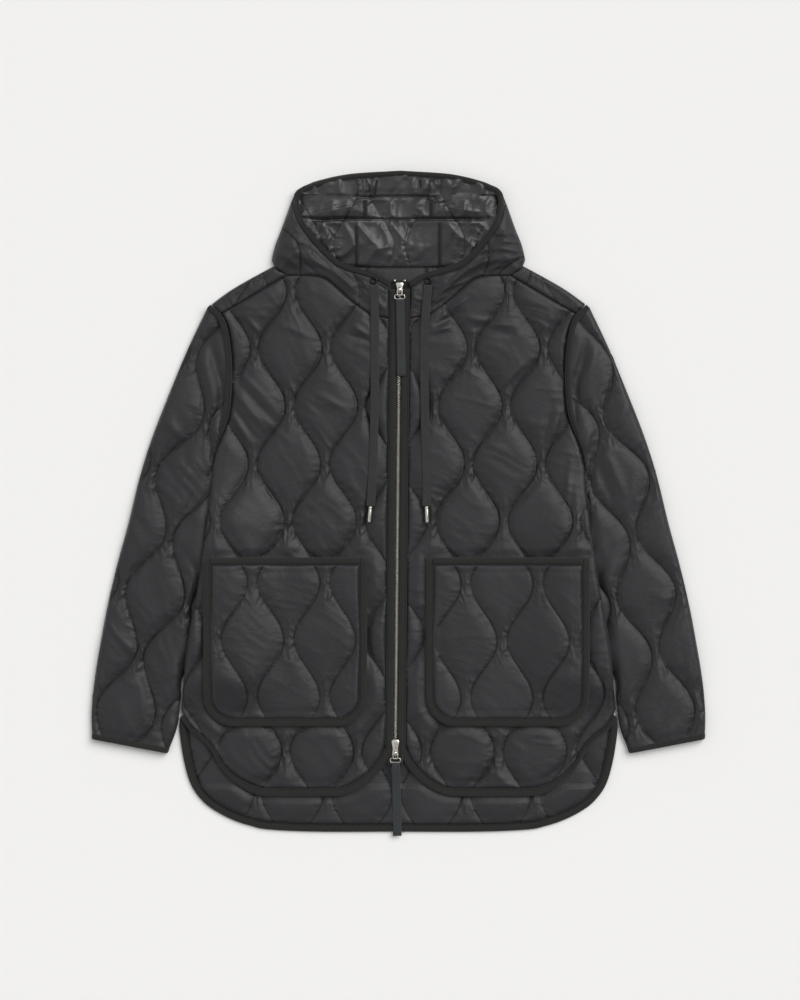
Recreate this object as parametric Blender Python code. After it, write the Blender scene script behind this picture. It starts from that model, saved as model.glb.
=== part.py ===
"""Hooded quilted jacket with a two-way zip, laid flat on its back with its front up.

Metres, +Z up, hood towards +Y, origin on the surface under the middle of the garment. Each
panel is a wall between two height functions, read at the crossings of one shared set of lines
and cut to the panel's outline, so that panels which lie on each other never touch. Outline
tables are in millimetres, for the +X half; the other half is their mirror image.
"""
import math

import bmesh
import bpy
import numpy as np

MM = 0.001

# Driving dimensions
WALL = 5.0 * MM                 # shell, wadding and lining together, pressed by their own weight
SEAM_GAP = 0.3 * MM             # between two pieces sewn edge to edge, or a piece and its seat
LAYER_GAP = 0.6 * MM            # between a panel and the panel that it lies on
SLEEVE_HOLLOW = 2.0 * MM        # air left between the two walls of a flattened sleeve
BINDING_WIDTH = 11.0 * MM       # hems, front edges and pockets
RIM_BINDING_WIDTH = 8.0 * MM    # hood opening and cuffs
ARMHOLE_BINDING_WIDTH = 8.5 * MM
ARMHOLE_BINDING_HEIGHT = 5.0 * MM
ZIP_TOP = 312.0 * MM
ZIP_BOTTOM = -352.0 * MM
FRONT_BINDING_TOP = 299.0 * MM
ZIP_LEAN = 0.0094               # the closed front edge runs a touch off the centre line
ZIP_OFFSET = -1.1 * MM
LEAN_ACROSS = (0.100, 0.150)    # the lean fades out between these distances from the centre
CHAIN_HALF_WIDTH = 3.0 * MM
CHAIN_HEIGHT = 3.2 * MM
STOP_X = 7.0 * MM
STOP_SIZE = 3.0 * MM
STOP_HEIGHT = 3.2 * MM
TAPE_HALF_WIDTH = 12.0 * MM
TAPE_THICKNESS = 0.8 * MM
EDGE_START = 3.5 * MM           # front edge of each front, beside the zip chain
CORD_WIDTH = 12.0 * MM
CORD_THICKNESS = 2.0 * MM
TIP_DIAMETER = 5.6 * MM
STRAP_WIDTH = 12.0 * MM
STRAP_THICKNESS = 1.6 * MM

SLEEVE_HEIGHT = 2 * WALL + SLEEVE_HOLLOW
BODY_RISE = SLEEVE_HEIGHT + LAYER_GAP     # how far the body's sides are lifted by the sleeves
FRONT_LOW = WALL + LAYER_GAP
FRONT_TOP = FRONT_LOW + WALL
POCKET_LOW = FRONT_TOP + SEAM_GAP
POCKET_TOP = POCKET_LOW + WALL - LAYER_GAP

# Half outlines in millimetres: x, y, from the hem upwards
BACK_HEM = [(0, -459), (112, -459), (181, -456), (206, -451), (228, -444), (251, -433), (270, -420),
            (284, -404), (292, -389), (298, -369), (303, -344), (306.5, -315), (305, -298)]
BODY_SIDE = [(305, -298), (302, -275), (299, -240), (294, -191), (281, -121), (270, -48), (264, 5),
             (262.5, 38)]
ARMHOLE = [(262.5, 38), (259, 60), (252, 83), (239, 115), (233.5, 145), (232, 190), (235, 225),
           (240, 250), (248, 266), (262, 278)]
SHOULDER = [(262, 278), (236, 297), (209, 313), (174, 332)]
FORWARD_SEAM = [(248, 266), (157, 319)]
NECK_SEAM = [(157, 319), (110, 317), (89, 303), (65, 282), (38, 263), (3.5, 257)]
FRONT_EDGE = [(3.5, 257), (3.5, -335), (7, -350), (16, -367), (33, -386), (51, -399), (70, -407), (95, -409),
              (178, -409), (203, -405), (225, -393), (241, -379), (253, -363), (262, -346), (276, -330),
              (294, -315), (305, -298)]
HOOD_EDGE = [(174, 332), (177, 340), (172, 362), (164, 382), (154, 410), (149, 424)]
HOOD_CROWN = [(148, 427), (142, 437), (130, 444), (111, 451), (68, 460), (0, 464.5)]
RIM_SIDE = [(14, 306), (32, 316.5), (58, 324.5), (84, 333.5), (104, 350), (122, 371), (137, 393),
            (142.5, 412)]
RIM_CROWN = [(142.5, 427), (137, 436), (126, 441), (109, 447), (67, 456), (0, 460.5)]
HOOD_SEAM = [(58, 332), (58, 393), (46, 397), (46, 430)]     # between the hood's centre and side pieces
BACK_NECK = 331.0 * MM

# Lines on which the body's panels share their points
BODY_X_LINES = [0, 60, 118, 175, 222, 262, 320]
BODY_Y_LINES = [-480, -400, -330, -275, -240, -160, -78, 5, 50, 110, 190, 270, 345]
HOOD_X_LINES = [0, 20, 45, 70, 95, 120, 140, 158, 190]
HOOD_Y_LINES = [240, 262, 284, 306, 326, 345, 368, 393, 398, 412, 425, 430, 446, 475]

# Where the body's sides lie on the sleeves: share of the full rise, across and along the body
LIFT_ACROSS = [(175, 0.0), (222, 1.0)]
LIFT_ALONG = [(-275, 0.0), (-240, 1.0), (5, 1.0), (50, 0.0)]

# Folds of the hood's inside, from the back neck to the crown: y, height
HOOD_FOLDS = [(331, 5.0), (393, 13.0), (398, 9.0), (425, 14.0), (430, 11.0), (465, 15.0)]
HOOD_LOFT = 13.0 * MM
HOOD_EDGE_SLOPE = 0.5
HOOD_BACK_SLOPE = 0.35
HOOD_NECK_SLOPE = 0.15
HOOD_TIP = 0.431                # above this the hood is one layer, with no side folded over it
THROAT_ACROSS = (0.020, 0.090)  # the loft grows between these distances from the centre
THROAT_SHARE = 0.25             # how much of the loft is left beside the zip

# Sleeve rings: outer edge x, y, inner edge x, y, and height, from the armhole to the cuff
SLEEVE_RINGS = [
    (266.0, 276, 263.8, 38, 10.6),
    (293.0, 219, 264.8, 22, 10.6),
    (321.0, 152, 265.6, 6, 10.9),
    (345.0, 90, 245.0, -32, 12.0),
    (362.0, 35, 234.0, -75, 12.0),
    (378.0, -30, 236.0, -120, 12.0),
    (393.0, -85, 250.0, -165, 12.0),
    (407.0, -145, 272.0, -205, 12.0),
    (417.0, -198, 301.0, -240, 12.0),
    (425.0, -248, 304.6, -276, 12.0),
    (429.0, -295, 309.5, -313, 12.0),
    (428.0, -329, 323.0, -349, 12.0),
]
RING_ENDS = [(0.0, 0.0), (0.3, 0.714), (1.0, 1.0)]   # rounding: share of half height inwards, and up

# Pockets: x, y round the outline, from the inner upper corner
POCKET_INNER, POCKET_OUTER = 41.0, 269.0
POCKET_UPPER, POCKET_LOWER = -75.0, -311.0
POCKET_CORNER = 42.0

# Drawcords: x, y from below the eyelet to the cord's end, and the metal tip's far end
EYELET_LEFT = (-34.3, 311)
EYELET_RIGHT = (41.6, 311)
EYELET_RADIUS = 5.0 * MM
EYELET_HOLE = 2.6 * MM
EYELET_THICKNESS = 1.0 * MM
DRAWCORD_LEFT = [(-34.0, 305), (-33.4, 290), (-33.0, 262), (-33.0, 230), (-33.0, 190), (-33.2, 145),
                 (-34.0, 105), (-35.0, 70), (-36.6, 35), (-38.2, 5), (-39.0, -4)]
DRAWCORD_RIGHT = [(41.2, 305), (40.0, 290), (37.8, 262), (36.2, 230), (35.9, 190), (36.6, 145),
                  (37.2, 105), (38.2, 70), (39.4, 35), (39.5, 5), (39.2, -4)]
TIP_LEFT = (-40.9, -26.5)
TIP_RIGHT = (40.2, -27.0)
CORD_POINTS = 20

# Sliders: the end from which the pull hangs, and the other end
TOP_SLIDER = (293.0 * MM, 309.0 * MM)
BOTTOM_SLIDER = (-353.5 * MM, -329.0 * MM)
SLIDER_WIDTH = 11.0 * MM
SLIDER_PLATE = 2.2 * MM
SLIDER_NOSE = 0.6               # length of the plate's round end, as a share of its half width
SLIDER_CORE = 2.4 * MM          # half width of the wedge between the two rows of teeth
SLIDER_SEAT = 11.3 * MM         # underside of the plate, on the bindings
BRIDGE_WIDTH = 4.0 * MM
BRIDGE_POST = 1.8 * MM
BRIDGE_LENGTH = 10.0 * MM
BRIDGE_TUNNEL = 2.4 * MM
RING_WIDTH = 15.5 * MM
RING_LENGTH = 10.5 * MM
RING_WIRE = 1.6 * MM
RING_CORNER = 2.0 * MM
RING_BACK = 3.9 * MM            # from the slider's end to the bar that the ring turns on
RING_HEIGHT = SLIDER_SEAT + SLIDER_PLATE + BRIDGE_TUNNEL / 2

# Pull straps: y and height of their middle line, from the ring
TOP_STRAP = [(284.4, 14.6), (278, 13.4), (268, 12.3), (240, 12.2), (178, 12.2)]
BOTTOM_STRAP = [(-362.2, 14.6), (-369, 13.4), (-380, 9.8), (-400, 6.9), (-430, 6.6), (-464.5, 6.6)]
TOP_STRAP_X = (2.2, 3.9)
BOTTOM_STRAP_X = (-3.8, -1.6)


def scaled(table):
    """A table in millimetres as an array in metres."""
    return np.array(table, float) * MM


def mirrored(points):
    """The same outline on the other side of the centre, still in counter-clockwise order."""
    return points[::-1] * np.array([-1.0, 1.0])


def interpolated(value, table):
    """The table's second column at a value of its first, both in the table's own units."""
    columns = np.array(table, float)
    return np.interp(value, columns[:, 0], columns[:, 1])


def offset_path(path, distance):
    """The path moved to its left by a distance, with mitred corners."""
    steps = np.diff(path, axis=0)
    steps /= np.linalg.norm(steps, axis=1)[:, None]
    before = np.vstack([steps[:1], steps])
    after = np.vstack([steps, steps[-1:]])
    middle = before + after
    middle /= np.linalg.norm(middle, axis=1)[:, None]
    left = np.column_stack([-middle[:, 1], middle[:, 0]])
    mitre = 1.0 / np.maximum(0.5, np.einsum("ij,ij->i", middle, after))
    return path + left * (distance * mitre)[:, None]


def band(path, near, far):
    """The outline of a strip beside a path, between two distances to its left."""
    return np.vstack([offset_path(path, near), offset_path(path, far)[::-1]])


def path_distance(x, y, path):
    """The shortest distance from each point to a path of straight runs."""
    point = np.stack([x, y], axis=-1)[..., None, :]
    start, run = path[:-1], np.diff(path, axis=0)
    share = np.clip(np.sum((point - start) * run, axis=-1) / np.sum(run * run, axis=-1), 0.0, 1.0)
    nearest = start + share[..., None] * run
    return np.linalg.norm(point - nearest, axis=-1).min(axis=-1)


def zip_line(y):
    """Where the middle of the zip runs at a height y on the front."""
    return ZIP_OFFSET + ZIP_LEAN * y


def leaned(points):
    """An outline of the front, moved with the zip near the middle; the body's sides stay."""
    share = np.interp(np.abs(points[:, 0]), LEAN_ACROSS, (1.0, 0.0))
    return np.column_stack([points[:, 0] + share * zip_line(points[:, 1]), points[:, 1]])


def material(name, colour, roughness, metallic=0.0):
    """A named Principled material, made once."""
    found = bpy.data.materials.get(name)
    if found:
        return found
    made = bpy.data.materials.new(name)
    made.use_nodes = True
    shader = made.node_tree.nodes["Principled BSDF"]
    shader.inputs["Base Color"].default_value = (*colour, 1.0)
    shader.inputs["Roughness"].default_value = roughness
    shader.inputs["Metallic"].default_value = metallic
    return made


def quilted_shell():
    return material("quilted_shell", (0.035, 0.035, 0.038), 0.5)


def binding_tape():
    return material("binding_tape", (0.022, 0.021, 0.018), 0.85)


def zip_tape():
    return material("zip_tape", (0.024, 0.023, 0.020), 0.85)


def nickel():
    return material("nickel", (0.55, 0.54, 0.50), 0.3, 1.0)


def strap_webbing():
    return material("strap_webbing", (0.040, 0.044, 0.050), 0.8)


def cord_braid():
    return material("cord_braid", (0.045, 0.040, 0.040), 0.85)


def black_metal():
    return material("black_metal", (0.012, 0.012, 0.012), 0.35, 0.8)


def new_object(name, vertices, faces, finish=None):
    """A mesh object; with no finish it is a guide that only cuts or joins."""
    mesh = bpy.data.meshes.new(name)
    mesh.from_pydata([tuple(v) for v in vertices], [], [tuple(f) for f in faces])
    mesh.update()
    made = bpy.data.objects.new(name, mesh)
    bpy.context.collection.objects.link(made)
    if finish:
        mesh.materials.append(finish)
    else:
        made.hide_render = True
        made.display_type = "WIRE"
    return made


def prism(name, outline, low=-0.05, high=0.12, finish=None):
    """An upright solid on an outline in counter-clockwise order."""
    count = len(outline)
    floor = np.column_stack([outline, np.full(count, low)])
    roof = np.column_stack([outline, np.full(count, high)])
    walls = [(i, (i + 1) % count, count + (i + 1) % count, count + i) for i in range(count)]
    faces = [tuple(range(count))[::-1], tuple(range(count, 2 * count)), *walls]
    return new_object(name, np.vstack([floor, roof]), faces, finish)


def grid_lines(half_lines):
    """The same lines on both sides of the centre."""
    half = np.array(half_lines, float)
    return np.concatenate([-half[:0:-1], half]) * MM


def slab(name, lines, low, high, finish=None):
    """A wall between two height functions, read at the crossings of two sets of lines."""
    x_lines, y_lines = lines
    across, along = len(x_lines), len(y_lines)
    x, y = np.meshgrid(x_lines, y_lines, indexing="ij")
    sheets = [np.column_stack([x.ravel(), y.ravel(), level(x, y).ravel()]) for level in (low, high)]
    vertices = np.vstack(sheets)
    below = np.arange(across * along).reshape(across, along)
    above = below + across * along
    faces = []
    for i in range(across - 1):
        for j in range(along - 1):
            a, b, c, d = above[i, j], above[i + 1, j], above[i + 1, j + 1], above[i, j + 1]
            faces += [(a, b, c), (a, c, d)]
            a, b, c, d = below[i, j], below[i + 1, j], below[i + 1, j + 1], below[i, j + 1]
            faces += [(a, c, b), (a, d, c)]
    border = [(i, 0) for i in range(across)] + [(across - 1, j) for j in range(1, along)]
    border += [(i, along - 1) for i in range(across - 2, -1, -1)] + [(0, j) for j in range(along - 2, 0, -1)]
    for here, there in zip(border, border[1:] + border[:1]):
        faces.append((below[here], below[there], above[there], above[here]))
    return new_object(name, vertices, faces, finish)


def combine(target, operation, operand):
    """Adds a Boolean between a target and a guide."""
    change = target.modifiers.new(operation.lower(), "BOOLEAN")
    change.operation = operation
    change.solver = "EXACT"
    change.object = operand


def cut_wall(name, outline, lines, low, high, finish=None):
    """A wall between two height functions, cut to an outline."""
    wall = slab(name, lines, low, high, finish)
    combine(wall, "INTERSECT", prism(name + "_outline", outline))
    return wall


def body_lines():
    """The lines that the body's panels share."""
    return grid_lines(BODY_X_LINES), scaled(BODY_Y_LINES)


def hood_lines():
    """The lines that the hood's pieces share."""
    return grid_lines(HOOD_X_LINES), scaled(HOOD_Y_LINES)


def body_level(height):
    """A height on the body: flat in the middle, lifted where the sides lie on the sleeves."""
    def level(x, y):
        lift = interpolated(np.abs(x) / MM, LIFT_ACROSS) * interpolated(y / MM, LIFT_ALONG)
        return height + BODY_RISE * lift
    return level


def mirror_both(half):
    """A whole path from its half that starts on the centre line, with the centre point once."""
    return np.vstack([mirrored(half)[:-1], half])


def mirror_both_open(half):
    """A path up one side and down the other, over a middle point on the centre line."""
    return np.vstack([half, mirrored(half)[1:]])


def hood_outline():
    """The hood's silhouette, from one shoulder over the crown to the other."""
    return mirror_both_open(scaled(HOOD_EDGE + HOOD_CROWN[1:]))


def flap_top(x, y):
    """The upper face of the hood's folded-over sides: it rises from the neck seam and the edge."""
    from_neck = HOOD_NECK_SLOPE * path_distance(x, y, mirror_both_open(scaled(NECK_SEAM)))
    from_edge = HOOD_EDGE_SLOPE * path_distance(x, y, hood_outline())
    rise = np.minimum(from_neck, from_edge)
    throat = np.interp(np.abs(x), THROAT_ACROSS, (THROAT_SHARE, 1.0))
    return FRONT_TOP + np.minimum(rise, HOOD_LOFT) * throat


def flap_low(x, y):
    """The lower face of the hood's folded-over sides."""
    return flap_top(x, y) - WALL


def hood_inside(x, y):
    """The hood's inside, with its two long folds, lower towards the edge."""
    folds = interpolated(y / MM, HOOD_FOLDS) * MM
    edge = WALL + HOOD_BACK_SLOPE * path_distance(x, y, hood_outline())
    return np.where(y > HOOD_TIP, folds, np.minimum(folds, np.minimum(edge, flap_low(x, y) - LAYER_GAP)))


def surface(x, y):
    """The surface that the jacket lies on."""
    return np.zeros_like(x)


def shoulder_fold(name, outward, inward):
    """The back's cloth turned over the shoulder: a rounded fold, then a strip to the forward seam."""
    radius = FRONT_TOP / 2
    inner = radius - WALL
    angles = np.radians(np.linspace(-90, 90, 7))
    outer_arc = np.column_stack([radius * np.cos(angles), radius + radius * np.sin(angles)])
    inner_arc = np.column_stack([inner * np.cos(angles), radius + inner * np.sin(angles)])[::-1]
    vertices = []
    for edge, seam in zip(outward, inward):
        across = edge - seam
        reach = np.linalg.norm(across)
        direction = across / reach
        centre = edge - direction * radius
        run = reach - radius
        profile = np.vstack([[(-run * 0.5, 0.0)], outer_arc, [(-run, FRONT_TOP)], [(-run, FRONT_LOW)],
                             inner_arc, [(-run * 0.5, WALL)]])
        vertices.append(np.column_stack([centre + profile[:, :1] * direction, profile[:, 1]]))
    count, rows = len(vertices[0]), len(vertices)
    faces = []
    for row in range(rows - 1):
        for k in range(count):
            a, b = row * count + k, row * count + (k + 1) % count
            faces.append((a, b, b + count, a + count))
    faces += [tuple(range(count))[::-1], tuple(range((rows - 1) * count, rows * count))]
    made = new_object(name, np.vstack(vertices), faces)
    outward_faces(made)
    return made


def outward_faces(made):
    """Turns every face of a closed mesh outwards."""
    mesh = bmesh.new()
    mesh.from_mesh(made.data)
    bmesh.ops.recalc_face_normals(mesh, faces=mesh.faces)
    mesh.to_mesh(made.data)
    mesh.free()


def back_panel():
    """The back: hem to neck, with both shoulders turned over to the front."""
    hem = offset_path(scaled(BACK_HEM)[1:], BINDING_WIDTH + SEAM_GAP)
    fold = FRONT_TOP / 2
    shoulder = offset_path(scaled(SHOULDER), fold)
    neck = np.array([[0.174 - fold, BACK_NECK], [0.0, BACK_NECK]])
    half = np.vstack([[(0.0, hem[0, 1])], hem, scaled(BODY_SIDE), scaled(ARMHOLE)[1:-1], shoulder, neck])
    outline = np.vstack([half, mirrored(half)[1:-1]])
    back = cut_wall("back", outline, body_lines(), body_level(0.0), body_level(WALL), quilted_shell())
    edge = scaled(SHOULDER)
    seam = np.linspace(scaled(FORWARD_SEAM)[0], scaled(FORWARD_SEAM)[1], len(edge))
    for side, sign in (("left", -1), ("right", 1)):
        turned = shoulder_fold(f"shoulder_fold_{side}", edge * (sign, 1), seam * (sign, 1))
        combine(back, "UNION", turned)


def front_half():
    """The +X front inside its bindings, in counter-clockwise order."""
    bound = offset_path(scaled(FRONT_EDGE), BINDING_WIDTH + SEAM_GAP)
    seam = scaled(FORWARD_SEAM) + (-SEAM_GAP, -SEAM_GAP)
    neck = scaled(NECK_SEAM)[:-1] - (0.0, SEAM_GAP)
    return np.vstack([bound[1:], scaled(BODY_SIDE), scaled(ARMHOLE)[1:-2], seam[:1], neck, bound[:1]])


def sides():
    """The names of the two sides, and how each turns an outline of the +X half."""
    return (("left", mirrored), ("right", np.copy))


def fronts():
    """The two fronts, from the forward shoulder seams to the hems."""
    low, high = body_level(FRONT_LOW), body_level(FRONT_TOP)
    for side, turned in sides():
        cut_wall(f"front_{side}", leaned(turned(front_half())), body_lines(), low, high, quilted_shell())


def front_bindings():
    """Bindings down the front edges, round their corners and along the front hems."""
    path = scaled(FRONT_EDGE)
    path[0, 1] = FRONT_BINDING_TOP
    strip = band(path, 0.0, BINDING_WIDTH)
    low, high = body_level(FRONT_LOW + TAPE_THICKNESS + SEAM_GAP), body_level(FRONT_TOP + SEAM_GAP)
    for side, turned in sides():
        cut_wall(f"front_binding_{side}", leaned(turned(strip)), body_lines(), low, high, binding_tape())


def back_hem_binding():
    """The binding round the back hem, from one side seam to the other."""
    path = mirror_both(scaled(BACK_HEM))
    cut_wall("back_hem_binding", band(path, 0.0, BINDING_WIDTH), body_lines(),
             body_level(0.0), body_level(WALL + SEAM_GAP), binding_tape())


def rounded_pocket(inset):
    """A pocket's outline with round lower corners, moved in by an inset, counter-clockwise."""
    left, right = POCKET_INNER * MM + inset, POCKET_OUTER * MM - inset
    top, bottom = POCKET_UPPER * MM - inset, POCKET_LOWER * MM + inset
    radius = POCKET_CORNER * MM - inset
    turns = np.radians(np.linspace(0, 90, 6))
    cosine, sine = radius * np.cos(turns), radius * np.sin(turns)
    lower_left = np.column_stack([left + radius - cosine, bottom + radius - sine])
    lower_right = np.column_stack([right - radius + sine, bottom + radius - cosine])
    return np.vstack([lower_left, lower_right, [(right, top), (left, top)]])


def pockets():
    """Patch pockets on the fronts, each with a binding all round it."""
    middle = (POCKET_UPPER + POCKET_LOWER) / 2 * MM
    shift = np.array([zip_line(middle), 0.0])
    for side, turned in sides():
        panel = turned(rounded_pocket(BINDING_WIDTH + SEAM_GAP)) + shift
        edge = turned(rounded_pocket(0.0)) + shift
        window = turned(rounded_pocket(BINDING_WIDTH)) + shift
        cut_wall(f"pocket_{side}", panel, body_lines(), body_level(POCKET_LOW), body_level(POCKET_TOP),
                 quilted_shell())
        frame = cut_wall(f"pocket_binding_{side}", edge, body_lines(), body_level(POCKET_LOW),
                         body_level(POCKET_TOP + SEAM_GAP), binding_tape())
        combine(frame, "DIFFERENCE", prism(f"pocket_window_{side}", window))


def ring_loop(points, height, inset):
    """One closed loop round a flattened tube's mid line: rounded edges, flat above and below."""
    half = height / 2 - inset
    reach = np.concatenate([[0.0], np.cumsum(np.linalg.norm(np.diff(points, axis=0), axis=1))])
    ends = np.array(RING_ENDS)
    near_end = inset + ends[:, 0] * half
    far_end = reach[-1] - near_end[::-1]
    stations = np.concatenate([near_end, reach[1:-1], far_end])
    share = np.concatenate([ends[:, 1], np.ones(len(points) - 2), ends[::-1, 1]])
    stations = np.clip(stations, inset, reach[-1] - inset)
    stations = np.maximum.accumulate(stations)
    x = np.interp(stations, reach, points[:, 0])
    y = np.interp(stations, reach, points[:, 1])
    upper = np.column_stack([x, y, height / 2 + half * share])
    lower = np.column_stack([x, y, height / 2 - half * share])[-2:0:-1]
    return np.vstack([upper, lower])


def ring_path(row, first, count):
    """The mid line of one sleeve ring, from its outer to its inner edge; the first is the armhole."""
    start, end = np.array(row[0:2]) * MM, np.array(row[2:4]) * MM
    share = np.linspace(0.0, 1.0, count)[:, None]
    straight = start + (end - start) * share
    if not first:
        return straight
    armhole = offset_path(scaled(ARMHOLE), -SEAM_GAP)[::-1]
    return np.vstack([start, armhole[1:-1], end])


def tube(name, rings, inset, finish, mirror):
    """A flattened tube with open ends, from (mid line, height) rings."""
    outer = [ring_loop(points, height, 0.0) for points, height in rings]
    inner = [ring_loop(points, height, inset) for points, height in rings]
    count, rows = len(outer[0]), len(outer)
    vertices = np.vstack(outer + inner)
    if mirror:
        vertices = vertices * (-1.0, 1.0, 1.0)
    shift = rows * count
    faces = []
    for k in range(count):
        step = (k + 1) % count
        for row in range(rows - 1):
            a, b, c, d = row * count + k, row * count + step, (row + 1) * count + step, (row + 1) * count + k
            faces += [(a, b, c, d), (shift + a, shift + d, shift + c, shift + b)]
        last, last_step = (rows - 1) * count + k, (rows - 1) * count + step
        faces += [(k, shift + k, shift + step, step), (last, last_step, shift + last_step, shift + last)]
    made = new_object(name, vertices, faces, finish)
    outward_faces(made)


def sleeves():
    """Two sleeves, each a flattened tube from the armhole to the cuff, and the cuffs' bindings."""
    count = len(ARMHOLE)
    rings = [(ring_path(row, k == 0, count), row[4] * MM) for k, row in enumerate(SLEEVE_RINGS)]
    last, before = rings[-1][0], rings[-2][0]
    along = (last - before) / np.linalg.norm(last - before, axis=1)[:, None]
    height = rings[-1][1]
    sleeve_end = last - along * (RIM_BINDING_WIDTH + SEAM_GAP)
    cuff_start = last - along * RIM_BINDING_WIDTH
    for side, mirror in (("left", True), ("right", False)):
        tube(f"sleeve_{side}", rings[:-1] + [(sleeve_end, height)], WALL, quilted_shell(), mirror)
        cuff = [(cuff_start, height + SEAM_GAP), (last, height + SEAM_GAP)]
        tube(f"cuff_binding_{side}", cuff, WALL, binding_tape(), mirror)


def armhole_bindings():
    """A bound seam standing on each front armhole, from the shoulder to the underarm."""
    strip = band(scaled(ARMHOLE), -SEAM_GAP - ARMHOLE_BINDING_WIDTH, -2 * SEAM_GAP)
    low = FRONT_TOP + SEAM_GAP
    for side, turned in sides():
        prism(f"armhole_binding_{side}", turned(strip), low, low + ARMHOLE_BINDING_HEIGHT, binding_tape())


def rim_top(x, y):
    """The upper face of the hood's bound opening: on the folded sides, then on the crown."""
    crown = interpolated(y / MM, HOOD_FOLDS) * MM
    return np.where(y > HOOD_TIP, crown, flap_top(x, y)) + SEAM_GAP


def rim_low(x, y):
    """The lower face of the hood's bound opening."""
    return rim_top(x, y) - WALL - SEAM_GAP


def hood():
    """Three pieces: a centre, and two sides that turn over at the edge and run down to the neck seam."""
    inset = RIM_BINDING_WIDTH / 2 + SEAM_GAP
    crown = offset_path(scaled(RIM_CROWN), inset)
    seam = scaled(HOOD_SEAM)
    seam_top = (seam[-1, 0], np.interp(-seam[-1, 0], -crown[:, 0], crown[:, 1]))
    seam = np.vstack([seam, seam_top])
    lines = hood_lines()
    half = np.vstack([[(0.0, seam[0, 1])], seam, crown[-1:]])
    whole = leaned(np.vstack([half, mirrored(half)[1:-1]]))
    cut_wall("hood_centre", whole, lines, surface, hood_inside, quilted_shell())
    sewn = seam + (SEAM_GAP, 0.0)
    under = np.vstack([scaled(HOOD_EDGE[1:]), crown[:-2], sewn[::-1], [(0.170, sewn[0, 1])]])
    throat = np.array([(BINDING_WIDTH + EDGE_START + SEAM_GAP, 0.257 + SEAM_GAP)])
    neck = scaled(NECK_SEAM)[:-1] + (0.0, SEAM_GAP)
    flap = np.vstack([throat, neck[::-1], scaled(HOOD_EDGE), offset_path(scaled(RIM_SIDE), -inset)[::-1]])
    edge = band(scaled(HOOD_EDGE)[:-1], 0.0, WALL + SEAM_GAP)
    for side, turned in sides():
        piece = cut_wall(f"hood_side_{side}", leaned(turned(under)), lines, surface, hood_inside,
                         quilted_shell())
        folded = cut_wall(f"hood_flap_{side}", leaned(turned(flap)), lines, flap_low, flap_top)
        combine(piece, "UNION", folded)
        combine(piece, "UNION", cut_wall(f"hood_turn_{side}", turned(edge), lines, surface, flap_top))
    rim = mirror_both_open(scaled(RIM_SIDE + RIM_CROWN))
    half_width = RIM_BINDING_WIDTH / 2
    strip = leaned(band(rim, -half_width, half_width))
    cut_wall("hood_rim_binding", strip, lines, rim_low, rim_top, binding_tape())


def box_outline(left, right, bottom, top):
    """A rectangle in counter-clockwise order."""
    return np.array([(left, bottom), (right, bottom), (right, top), (left, top)])


def zip_fastener():
    """Tapes under the front edges, the closed chain between them, and the two top stops."""
    tape = box_outline(SEAM_GAP / 2, TAPE_HALF_WIDTH, ZIP_BOTTOM, ZIP_TOP)
    chain = box_outline(SEAM_GAP / 2, CHAIN_HALF_WIDTH, BOTTOM_SLIDER[1] + SEAM_GAP, TOP_SLIDER[0] - SEAM_GAP)
    stop = box_outline(STOP_X - STOP_SIZE / 2, STOP_X + STOP_SIZE / 2, ZIP_TOP - STOP_SIZE, ZIP_TOP)
    tape_top = FRONT_LOW + TAPE_THICKNESS
    low = tape_top + SEAM_GAP
    for side, turned in sides():
        prism(f"zip_tape_{side}", leaned(turned(tape)), FRONT_LOW, tape_top, zip_tape())
        prism(f"zip_chain_{side}", leaned(turned(chain)), low, low + CHAIN_HEIGHT, nickel())
        prism(f"zip_stop_{side}", leaned(turned(stop)), low, low + STOP_HEIGHT, nickel())


def slider(name, ends):
    """A slider's plate on the bindings, its wedge between the teeth, and the bridge over its ring."""
    near, far = ends
    middle = zip_line((near + far) / 2)
    half = SLIDER_WIDTH / 2
    nose_length = half * SLIDER_NOSE
    turn = np.radians(np.linspace(0, 180, 9))
    nose = np.column_stack([half * np.cos(turn), far - nose_length + nose_length * np.sin(turn)])
    plate = np.vstack([[(-half, near), (half, near)], nose]) + (middle, 0.0)
    top = SLIDER_SEAT + SLIDER_PLATE
    body = prism(name, plate, SLIDER_SEAT, top, nickel())
    tape_top = FRONT_LOW + TAPE_THICKNESS + SEAM_GAP
    wedge = box_outline(middle - SLIDER_CORE, middle + SLIDER_CORE, near + SEAM_GAP, far - half)
    combine(body, "UNION", prism(name + "_wedge", wedge, tape_top, SLIDER_SEAT + SLIDER_PLATE / 2))
    start = near + BRIDGE_POST / 2
    roof = top + BRIDGE_TUNNEL
    reach = box_outline(middle - BRIDGE_WIDTH / 2, middle + BRIDGE_WIDTH / 2, start, start + BRIDGE_LENGTH)
    bridge = prism(name + "_bridge", reach, top - SLIDER_PLATE / 2, roof + BRIDGE_POST)
    tunnel = box_outline(middle - SLIDER_WIDTH, middle + SLIDER_WIDTH, start + BRIDGE_POST,
                         start + BRIDGE_LENGTH - BRIDGE_POST)
    combine(bridge, "DIFFERENCE", prism(name + "_tunnel", tunnel, top, roof))
    combine(body, "UNION", bridge)


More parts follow.
